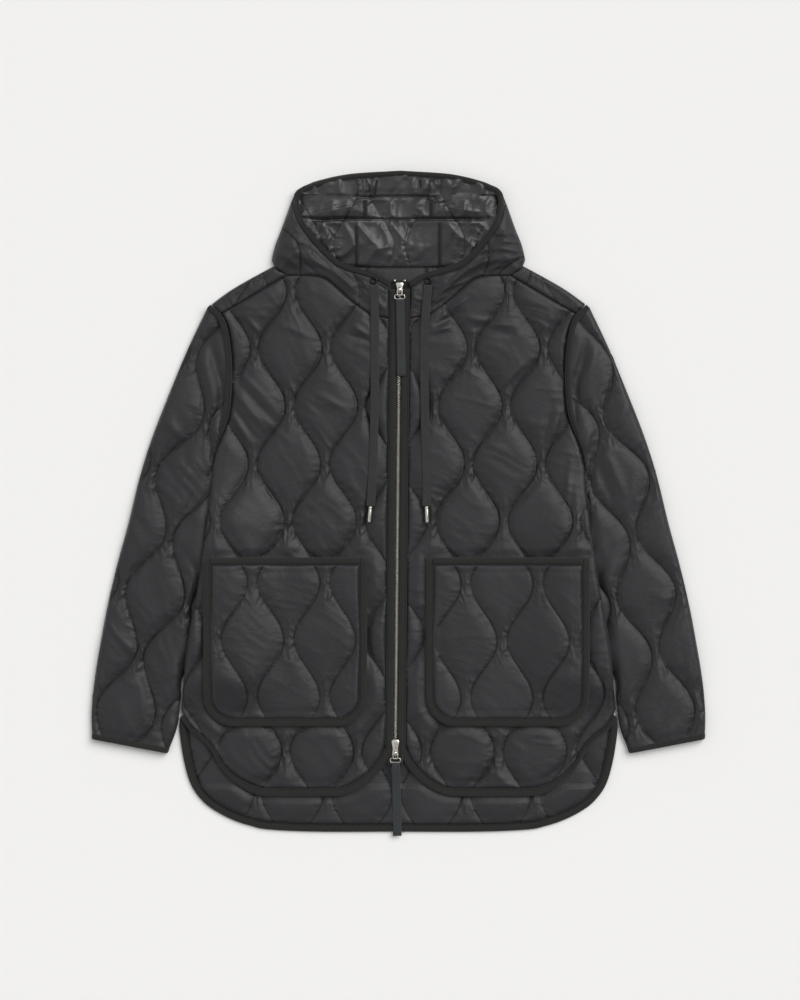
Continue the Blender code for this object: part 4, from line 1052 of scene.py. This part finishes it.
def back(shell, tape):
    """The back with its hem binding, and the two strips turned over the shoulders to the front."""
    hem = offset_path(smoothed(scaled(BACK_HEM), 0.008), BINDING)
    side = smoothed(scaled(BODY_SIDE), 0.010)
    armhole = smoothed(scaled(ARMHOLE), 0.008)
    shoulder = smoothed(scaled(SHOULDER), 0.008)
    half = np.vstack([hem, side[1:], armhole[1:], shoulder[1:], [(0.171, BACK_NECK), (0.0, BACK_NECK)]])
    outline = np.vstack([half, mirrored(half)[1:-1]])
    roll = [(turn(side), 7.0 * MM, level(0.0)) for _, turn in side_turns()]
    hems = [leaned(turn(smoothed(scaled(FRONT_EDGE), 0.008))) for _, turn in side_turns()]

    def upper(x, y):
        clear = np.minimum(path_distance(x, y, hems[0]), path_distance(x, y, hems[1]))
        shown = (y < -0.395) & ~within(x, y, hems[0]) & ~within(x, y, hems[1])
        swell = np.where(shown, eased(clear, 0.001, 0.010), 0.0)
        return WALL + body_rise(x, y) + TOP_CLEAR + 2.8 * MM * swell

    parts = [quilted_panel(BACK_QUILT, outline, level(0.0), upper, 3.4 * MM, cells=14,
                           row_step=3.4 * MM, roll=roll, seed=41, under=2.2 * MM, rounds=80,
                           excess=(0.01, 0.02), crumple=0.9, folds=0.3)]
    for _, turn in side_turns():
        strip = turn(np.vstack([shoulder, smoothed(scaled(FORWARD_SEAM), 0.010)[::-1]]))
        quilt = BACK_QUILT._replace(y=0.33, x=-0.0268)
        parts.append(quilted_panel(quilt, strip, flat(5.3 * MM), flat(FRONT_TOP + 0.4 * MM), 2.4 * MM,
                                   roll=[(turn(shoulder), 6.0 * MM, flat(5.3 * MM))], seed=43, cells=20))
    piece = joined("quilted_back", parts, shell)
    dress(piece, "quilted_shell", "jacket", "back")
    path = smoothed(scaled(BACK_HEM), 0.005)
    path = np.vstack([mirrored(path)[:-1], path])
    strip = bound_strip(path, 0.0, BINDING, level(0.0), level(WALL + SEAM_GAP), seed=47)
    binding = facing_out(joined("bound_back_hem", [strip], tape))
    dress(binding, "binding_tape", "jacket", "back_hem_binding")


def pocket_outline(inset):
    """A pocket's outline with round lower corners, moved in by an inset: down, round and up again."""
    left, right = POCKET_INNER * MM + inset, POCKET_OUTER * MM - inset
    top, bottom = POCKET_UPPER * MM - inset, POCKET_LOWER * MM + inset
    radius = POCKET_CORNER * MM - inset
    turns = np.radians(np.linspace(0, 90, 12))
    cosine, sine = radius * np.cos(turns), radius * np.sin(turns)
    lower_left = np.column_stack([left + radius - cosine, bottom + radius - sine])
    lower_right = np.column_stack([right - radius + sine, bottom + radius - cosine])
    down = np.column_stack([np.full(20, left), np.linspace(top, bottom + radius, 20)])
    run = np.column_stack([np.linspace(left + radius, right - radius, 20), np.full(20, bottom)])
    up = np.column_stack([np.full(20, right), np.linspace(bottom + radius, top, 20)])
    return np.vstack([down, lower_left[1:], run[1:], lower_right[1:], up[1:]])


def pockets(shell, tape):
    """Patch pockets, each bound all round: the top edge first, then sides and bottom in one strip."""
    middle = (POCKET_UPPER + POCKET_LOWER) / 2 * MM
    shift = np.array([zip_line(middle), 0.0])
    for side, turn in side_turns():
        outline = turn(pocket_outline(BINDING)) + shift
        panel = quilted_panel(POCKET_QUILTS[side], outline, level(POCKET_LOW),
                              level(POCKET_TOP + 1.6 * MM), 4.6 * MM, edge_loft=3.0 * MM,
                              seed=53 if side == "left" else 59, cells=26, row_step=1.9 * MM,
                              excess=(0.018, 0.026), crumple=0.7, folds=0.5, angle=-0.6)
        piece = joined(f"quilted_pocket_{side}", [panel], shell)
        dress(piece, "quilted_shell", "jacket", f"pocket_{side}")
        rim = turn(pocket_outline(0.0)) + shift
        around = bound_strip(rim, 0.0, BINDING, level(POCKET_LOW), level(POCKET_TOP + SEAM_GAP), seed=61)
        upper = POCKET_UPPER * MM
        inner, outer = POCKET_INNER * MM + BINDING - 1 * MM, POCKET_OUTER * MM - BINDING + 1 * MM
        top_run = turn(np.column_stack([np.linspace(outer, inner, 60), np.full(60, upper)])) + shift
        edge = bound_strip(top_run, 0.0, BINDING, level(POCKET_LOW), level(POCKET_TOP), seed=67)
        binding = facing_out(joined(f"bound_pocket_{side}", [around, edge], tape))
        dress(binding, "binding_tape", "jacket", f"pocket_binding_{side}")


def sleeve_outline():
    """The +X sleeve's outline short of its cuff binding, counter-clockwise, and its two long edges."""
    table = scaled(SLEEVE_EDGES)
    table[:3, 2] -= UNDERARM_TUCK
    outer, inner = smoothed(table[:, :2], 0.008), smoothed(table[:, 2:], 0.008)
    ahead = (table[-1] - table[-2]).reshape(2, 2)
    ahead /= np.linalg.norm(ahead, axis=1)[:, None]
    outer = np.vstack([outer[:-1], outer[-1] - ahead[0] * CUFF_TUCK])
    inner = np.vstack([inner[:-1], inner[-1] - ahead[1] * CUFF_TUCK])
    armhole = offset_path(smoothed(scaled(ARMHOLE), 0.008), -SEAM_GAP)
    outline = np.vstack([armhole[1:-1], outer, inner[::-1]])
    return outline, outer, inner


def sleeves(shell, tape):
    """Two flattened sleeves: an upper and a lower wall that roll together along both long edges."""
    outline, outer, inner = sleeve_outline()
    body = np.vstack([smoothed(scaled(BODY_SIDE), 0.010), [(0.20, 0.038), (0.20, -0.298)]])
    middle = 6.0 * MM
    body_path = np.vstack([body, body[:1]])

    def upper(x, y):
        rise = np.interp(y, (0.090, 0.152), (SLEEVE_TOP, 10.9 * MM))
        under_body = within(np.abs(x), y, body)
        clear = path_distance(np.abs(x), y, body_path)
        shown = np.where(under_body, 0.0, eased(clear, 0.0, 0.014))
        sunk = 3.0 * MM * eased(-y, 0.195, 0.240) * (1.0 - shown)
        return rise + 0.1 * MM + 2.2 * MM * shown - sunk

    for side, turn in side_turns():
        shape = turn(outline)
        edges = [(turn(outer), 9.0 * MM, flat(middle)), (turn(inner), 7.0 * MM, flat(middle))]
        seed = 71 if side == "left" else 73
        top_wall = quilted_panel(SLEEVE_QUILTS[side], shape, flat(middle), upper, 6.2 * MM, cells=20,
                                 row_step=2.4 * MM, roll=edges, seed=seed, excess=(0.02, 0.03), folds=1.3,
                                 creases=SLEEVE_CREASES[side], edge_loft=3.5 * MM,
                                 angle=-1.2 if side == "left" else 1.2)
        points, faces, numbers = quilted_panel(SLEEVE_QUILTS[side], shape, flat(middle),
                                               flat(SLEEVE_TOP), 2.2 * MM, cells=12,
                                               row_step=4.2 * MM, roll=edges, seed=seed + 5,
                                               rounds=60, excess=(0.0, 0.01))
        turned_down = points * (1, 1, -1) + (0, 0, 2 * middle)
        turned_down[:, 2] = np.maximum(turned_down[:, 2], 0.1 * MM)
        low_wall = (turned_down, faces[:, ::-1], numbers)
        piece = joined(f"quilted_sleeve_{side}", [top_wall, low_wall], shell)
        dress(piece, "quilted_shell", "jacket", f"sleeve_{side}")
        table = scaled(SLEEVE_EDGES)
        ahead = (table[-1] - table[-2]).reshape(2, 2)
        ahead /= np.linalg.norm(ahead, axis=1)[:, None]
        first, last = table[-1, :2], table[-1, 2:]
        cuff = cuff_band(f"bound_cuff_{side}", first, last, ahead, -1.0 if side == "left" else 1.0, tape)
        dress(cuff, "binding_tape", "jacket", f"cuff_binding_{side}")
        path = turn(smoothed(scaled(ARMHOLE), 0.004))
        near, far = -SEAM_GAP - ARMHOLE_BINDING, -2 * SEAM_GAP
        low = FRONT_TOP + SEAM_GAP

        def ridge_top(x, y):
            return low + ARMHOLE_RIDGE * (0.06 + 0.94 * eased(y, 0.080, 0.125))

        def ridge_low(x, y):
            return low - 3.0 * MM * (1.0 - eased(y, 0.080, 0.125))

        strip = bound_strip(path, near, far, ridge_low, ridge_top, dome=3.2 * MM, seed=79,
                            crown=0.2 * MM)
        ridge = facing_out(joined(f"bound_armhole_{side}", [strip], tape))
        dress(ridge, "binding_tape", "jacket", f"armhole_binding_{side}")


def cuff_band(name, outer, inner, ahead, sign, tape):
    """A binding round the open cuff: a closed flat loop, carried along the cuff's last 8 mm."""
    half, stations = SLEEVE_TOP / 2 + 0.3 * MM, np.array([0.0, 0.12, 0.35, 0.65, 0.88, 1.0])
    bulge = 0.7 * MM * np.sin(np.pi * stations) ** 0.5
    turn = np.linspace(0, math.pi, 9)
    rows = []
    for share, lift in zip(np.concatenate([stations, stations[::-1]]),
                           np.concatenate([bulge, np.full(6, -1.6 * MM)])):
        first = outer - ahead[0] * (1 - share) * RIM_BINDING
        last = inner - ahead[1] * (1 - share) * RIM_BINDING
        run = last - first
        reach = np.linalg.norm(run)
        run = run / reach
        radius = half + lift
        flat_half = np.linspace(half, reach - half, 24)
        top = np.column_stack([flat_half, np.full(24, radius)])
        right = np.column_stack([reach - half + radius * np.sin(turn), radius * np.cos(turn)])
        left = np.column_stack([half - radius * np.sin(turn), -radius * np.cos(turn)])
        loop = np.vstack([top[:-1], right[:-1], top[::-1][:-1] * (1, -1), left[:-1]])
        place = first + run * loop[:, :1]
        height = np.maximum(SLEEVE_TOP / 2 + loop[:, 1], 0.1 * MM)
        rows.append(np.column_stack([place[:, 0] * sign, place[:, 1], height]))
    size, count = len(rows[0]), len(rows)
    points = np.vstack(rows)
    numbers = unstitched(points)
    numbers["along"] = np.tile(np.linspace(0, 0.25, size), count)
    return facing_out(mesh_object(name, points, loop_faces(count, size), tape, numbers))


def hood(shell, satin, tape):
    """The hood: its inside with two long folds, its two sides folded over the front, and its rim."""
    neck = smoothed(scaled(NECK_SEAM)[:-1], 0.006)
    edge = smoothed(scaled(HOOD_EDGE), 0.006)
    crown = smoothed(scaled(HOOD_CROWN), 0.006)
    rim_half = smoothed(scaled(RIM_SIDE), 0.006)
    inset = RIM_BINDING / 2
    silhouette = np.vstack([edge, crown[1:]])
    half = np.vstack([[(0.0, BACK_NECK)], [(0.172, BACK_NECK)], silhouette])
    outline = np.vstack([half, mirrored(half)[1:-1]])

    def gathered(x, y):
        upper_band = eased(y, 0.4285, 0.434) * (1.0 - eased(y, 0.448, 0.458))
        middle_band = eased(y, 0.3975, 0.403) * (1.0 - eased(y, 0.418, 0.425))
        lower_band = eased(y, 0.335, 0.350) * (1.0 - eased(y, 0.385, 0.393))
        tight = creased(x / 0.0125, y / 0.060 + 3.0, 107) - 0.35
        wide = creased(x / 0.027 + 5.0, y / 0.060, 109) - 0.35
        drawn = creased((x + 0.6 * np.abs(y - 0.36)) / 0.024, y / 0.080, 113) - 0.35
        return MM * (4.2 * tight * upper_band + 4.0 * wide * middle_band + 3.4 * drawn * lower_band)

    def inside_top(x, y):
        return hood_inside(x, y) + gathered(x, y)

    inside = quilted_panel(LINING_QUILT, outline, flat(0.0), inside_top, 2.2 * MM, cells=28,
                           row_step=1.5 * MM, seed=83, excess=(0.025, 0.03), edge_loft=1.0 * MM,
                           folds=1.6, angle=1.2)
    seams = []
    for sign in (-1.0, 1.0):
        for foot, head in (((58, 334), (58, 392)), ((46, 401), (46, 424)), ((33, 432), (30, 452))):
            run = scaled(np.linspace(foot, head, 30)) * (sign, 1.0)
            half_width = 2.8 * MM if foot[1] < 430 else 2.0 * MM
            seams.append(bound_strip(run, -half_width, half_width, lambda x, y: inside_top(x, y) - 3.0 * MM,
                                     lambda x, y: hood_inside(x, y) + 0.8 * MM, dome=1.6 * MM, seed=127))
    taped = facing_out(joined("bound_hood_seams", seams, tape))
    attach(taped, "jacket")
    centre = joined("quilted_hood_inside", [inside], satin)
    dress(centre, "quilted_shell", "jacket", "hood_centre")
    for side, turn in side_turns():
        throat = np.array([(EDGE_START + BINDING, 0.2595)])
        shape = np.vstack([throat, neck[::-1], edge, offset_path(rim_half, -inset)[::-1]])
        edge_line, rim_line, seam_line = turn(edge), leaned(turn(rim_half)), turn(neck)

        def flap_height(x, y):
            outer, inner = path_distance(x, y, edge_line), path_distance(x, y, rim_line)
            below = path_distance(x, y, seam_line)
            dome = eased(np.minimum(np.minimum(outer, inner), below), 0.0, 0.030)
            return flap_top(x, y) + 0.4 * MM + 6.5 * MM * dome * eased(np.abs(x), 0.048, 0.080)

        flap = quilted_panel(HOOD_QUILTS[side], leaned(turn(shape)), lambda x, y: flap_top(x, y) - WALL,
                             flap_height, 3.6 * MM, cells=30, row_step=1.7 * MM,
                             roll=[(turn(edge), 9.0 * MM, lambda x, y: flap_top(x, y) - 5.5 * MM)],
                             seed=89 if side == "left" else 97, excess=(0.022, 0.03), edge_loft=3.0 * MM,
                             folds=2.4, angle=-0.55 if side == "left" else 0.35,
                             creases=FLAP_CREASES[side])
        piece = joined(f"quilted_hood_side_{side}", [flap], shell)
        dress(piece, "quilted_shell", "jacket", f"hood_side_{side}")

    def rim_level(x, y):
        return np.where(y > HOOD_TIP, fold_height(x, y), flap_top(x, y)) + SEAM_GAP

    half_rim = smoothed(scaled(RIM_SIDE + RIM_CROWN), 0.004)
    path = leaned(np.vstack([half_rim, mirrored(half_rim)[1:]]))

    def rim_low(x, y):
        corner = eased(y, 0.398, 0.408) * (1.0 - eased(y, 0.440, 0.450))
        return np.maximum(rim_level(x, y) - WALL - 5.0 * MM * corner, 1.0 * MM)

    strip = bound_strip(path, -inset, inset, rim_low, rim_level, seed=101, crown=0.8 * MM)
    binding = facing_out(joined("bound_hood_rim", [strip], tape))
    dress(binding, "binding_tape", "jacket", "hood_rim_binding")


# ---------------------------------------------------------------- zip, sliders and pulls

def zip_tapes(cloth):
    """The zip's woven tapes, laid under the front edges: a thin flat strip each side of the zip line."""
    along = np.linspace(ZIP_ENDS[0], ZIP_ENDS[1], 200)
    path = np.column_stack([zip_line(along), along])
    for side, sign in (("left", 1.0), ("right", -1.0)):
        strip = bound_strip(path, sign * SEAM_GAP / 2, sign * ZIP_TAPE_WIDTH, flat(FRONT_LOW),
                            flat(FRONT_LOW + 1.2 * MM), dome=0.3 * MM, seed=151, crown=0.0)
        piece = facing_out(joined(f"woven_zip_tape_{side}", [strip], cloth))
        dress(piece, "zip_tape", "jacket", f"zip_tape_{side}")


def zip_teeth(metal):
    """Pressed metal teeth: one small block with a domed head, repeated down each side by an array."""
    pitch = 2.87 * MM
    low = FRONT_LOW + 1.1 * MM
    first, last = SLIDERS["bottom"][1] + 1 * MM, SLIDERS["top"][0] - 1 * MM
    across = np.array([-0.6, 0.2, 1.6, 2.9]) * MM
    height = np.array([3.2, 4.1, 4.2, 3.0]) * MM
    depth = np.array([0.6, 0.85, 0.8, 0.55]) * MM
    rows = []
    for x, z, y in zip(across, height, depth):
        rows.append([(x, -y, low), (x, y, low), (x, y * 0.9, low + z * 0.75), (x, y * 0.35, low + z),
                     (x, -y * 0.35, low + z), (x, -y * 0.9, low + z * 0.75)])
    block = np.array(rows)
    faces = tube_faces(*block.shape[:2])
    block = block.reshape(-1, 3)
    for side, sign, start in (("left", -1, 0.0), ("right", 1, pitch / 2)):
        places = np.arange(first + start, last, pitch)
        points = np.tile(block * (sign, 1, 1), (len(places), 1))
        points[:, 1] += np.repeat(places, len(block))
        points[:, 0] += zip_line(points[:, 1])
        quads = (faces[None] + (np.arange(len(places)) * len(block))[:, None, None]).reshape(-1, 4)
        teeth = facing_out(mesh_object(f"zip_teeth_{side}", points, quads, metal))
        teeth.data.polygons.foreach_set("use_smooth", np.zeros(len(teeth.data.polygons), bool))
        dress(teeth, "nickel", "jacket", f"zip_chain_{side}")


def loaf(stations, widths, heights, middle, low, power=3.0, sides=24):
    """A lofted body along Y: at each station a flat-bottomed arch, from low up, of its own size."""
    turn = np.arange(sides) * 2 * math.pi / sides
    cosine, sine = np.cos(turn), np.sin(turn)
    shape_x = np.sign(cosine) * np.abs(cosine) ** (2 / power)
    shape_z = np.sign(sine) * np.abs(sine) ** (2 / power)
    rows = []
    for y, width, (bottom, top) in zip(stations, widths, heights):
        rows.append(np.column_stack([middle + shape_x * width / 2, np.full(sides, y),
                                     low + (bottom + top) / 2 + shape_z * (top - bottom) / 2]))
    points = np.vstack(rows)
    return points, tube_faces(len(rows), sides), {}


def sliders(metal):
    """Zip sliders: a waisted shield with an arched bridge over the ring."""
    for end, (near, far) in SLIDERS.items():
        middle = zip_line((near + far) / 2)
        length = far - near
        share = np.array([0.0, 0.02, 0.08, 0.25, 0.45, 0.62, 0.80, 0.92, 0.98, 1.0])
        width = np.array([6.5, 8.2, 9.6, 8.4, 7.4, 8.8, 10.8, 10.4, 8.0, 6.0]) * MM
        heights = [(0.3 * MM, t * MM) for t in (1.6, 2.2, 2.6, 2.7, 2.7, 2.7, 2.6, 2.4, 2.0, 1.4)]
        body = loaf(near + share * length, width, heights, middle, 11.0 * MM)
        turn = np.linspace(0, math.pi, 15)
        reach = 3.6 * MM
        arch_y = near + 5.0 * MM - reach * np.cos(turn)
        arch_z = 12.9 * MM + 4.4 * MM * np.sin(turn) ** 0.6
        arch = np.column_stack([np.full(15, middle), arch_y, arch_z])
        bridge = turned_flat(arch, 4.0 * MM, 1.6 * MM)
        wedge_y = np.array([near + 1 * MM, near + 2 * MM, far - 6 * MM, far - 5 * MM])
        wedge = loaf(wedge_y, np.full(4, 4.4 * MM), [(0.0, 4.4 * MM)] * 4, middle, 6.9 * MM)
        parts = [strip_numbers(part) for part in (body, bridge, wedge)]
        piece = facing_out(joined(f"zip_slider_{end}", parts, metal))
        dress(piece, "nickel", "jacket", f"slider_{end}")


def top_stops(metal):
    """The two top stops: small balls crimped to the tape beside the slider."""
    radius, place = 2.0 * MM, np.sin(np.linspace(-0.485, 0.485, 11) * math.pi)
    for side, sign in (("left", -1.0), ("right", 1.0)):
        middle = zip_line(0.3112) + sign * 7.0 * MM
        path = np.column_stack([middle + radius * place, np.full(11, 0.3112), np.full(11, 10.4 * MM)])
        ball = turned(path, radius * np.sqrt(1.0 - place**2))
        piece = facing_out(joined(f"zip_top_stop_{side}", [strip_numbers(ball)], metal))
        dress(piece, "nickel", "jacket", f"zip_stop_{side}")


def strip_numbers(part):
    """The same part with no numbers on its points."""
    return part[0], part[1], {}


def turned_flat(path, width, thickness):
    """A flat bar, level across, with round edges, carried along an upright path."""
    along = np.gradient(path, axis=0)
    along /= np.linalg.norm(along, axis=1)[:, None]
    across = np.tile((1.0, 0.0, 0.0), (len(path), 1))
    up = np.cross(along, across)
    up /= np.linalg.norm(up, axis=1)[:, None]
    turn = np.arange(12) * 2 * math.pi / 12
    profile = np.column_stack([np.sign(np.cos(turn)) * np.abs(np.cos(turn)) ** 0.5 * width / 2,
                               np.sin(turn) * thickness / 2])
    points, faces = swept(path, across, up, profile)
    return points, faces, {}


def wire_loop(middle, bar, half, upper, lower, corner):
    """A level rectangular loop with round corners, from an upper to a lower distance off its bar."""
    path = []
    for x, y, start in ((half - corner, upper - corner, 90), (half - corner, lower + corner, 0),
                        (corner - half, lower + corner, -90), (corner - half, upper - corner, -180)):
        turn = np.radians(np.linspace(start, start - 90, 7))
        path.append(np.column_stack([x + corner * np.cos(turn), y + corner * np.sin(turn)]))
    loop = np.vstack(path)
    return np.column_stack([loop[:, 0] + middle, loop[:, 1] + bar, np.full(len(loop), RING_HEIGHT)])


def pulls(metal, webbing):
    """On each slider a rectangular wire ring and a folded webbing strap, which swing together."""
    for end, (near, far) in SLIDERS.items():
        middle = zip_line((near + far) / 2)
        bar = near + 3.9 * MM
        link = wire_loop(middle, bar, 3.1 * MM, 0.0, -6.4 * MM, 1.2 * MM)
        bail = wire_loop(middle, bar, 7.0 * MM, -5.8 * MM, -11.4 * MM, 1.8 * MM)
        wires = [closed_wire(link, WIRE_RADIUS), closed_wire(bail, WIRE_RADIUS)]
        ring = facing_out(joined(f"pull_wire_{end}", wires, metal))
        dress(ring, "nickel", f"pull_{end}", f"pull_ring_{end}")
        levels = scaled(STRAPS[end])
        route = smoothed(np.column_stack([levels[:, 0], levels[:, 1]]), 0.004)
        x = np.interp(-route[:, 0], (-route[0, 0], -route[-1, 0]), scaled(STRAP_X[end]))
        strap_path = np.column_stack([x, route[:, 0], route[:, 1]])
        strip = ribbon(strap_path, STRAP_WIDTH, STRAP_THICKNESS, 3, 0.25 * MM)
        strap = facing_out(joined(f"webbing_pull_{end}", [strip], webbing))
        dress(strap, "strap_webbing", f"pull_{end}", f"pull_strap_{end}")


def main():
    """Makes the studio, the finishes and every piece."""
    studio()
    shell = shell_nylon("calendered_nylon", 0.36, 0.44, 0.56)
    satin = shell_nylon("satin_lining", 0.60, 0.36, 0.48)
    tape = grosgrain("grosgrain_binding", "#20201e", 1.4 * MM)
    webbing = grosgrain("polyester_webbing", "#2f3234", 1.6 * MM)
    braid = grosgrain("woven_cord", "#302e2f", 1.3 * MM)
    zip_cloth = grosgrain("zip_tape_cloth", "#20201f", 1.2 * MM)
    metal, lacquer = nickel_plate("nickel_plated_brass", "#c9c6bc"), black_lacquer()
    # Painted light: the teeth get a brighter copy of the nickel colour, standing in for the light they
    # catch.
    bright = nickel_plate("nickel_teeth_painted_light", "#f4f1e6")
    drawcords(braid, metal, lacquer)
    fronts(shell, tape)
    back(shell, tape)
    pockets(shell, tape)
    sleeves(shell, tape)
    hood(shell, satin, tape)
    zip_teeth(bright)
    sliders(metal)
    pulls(metal, webbing)
    zip_tapes(zip_cloth)
    top_stops(metal)


main()
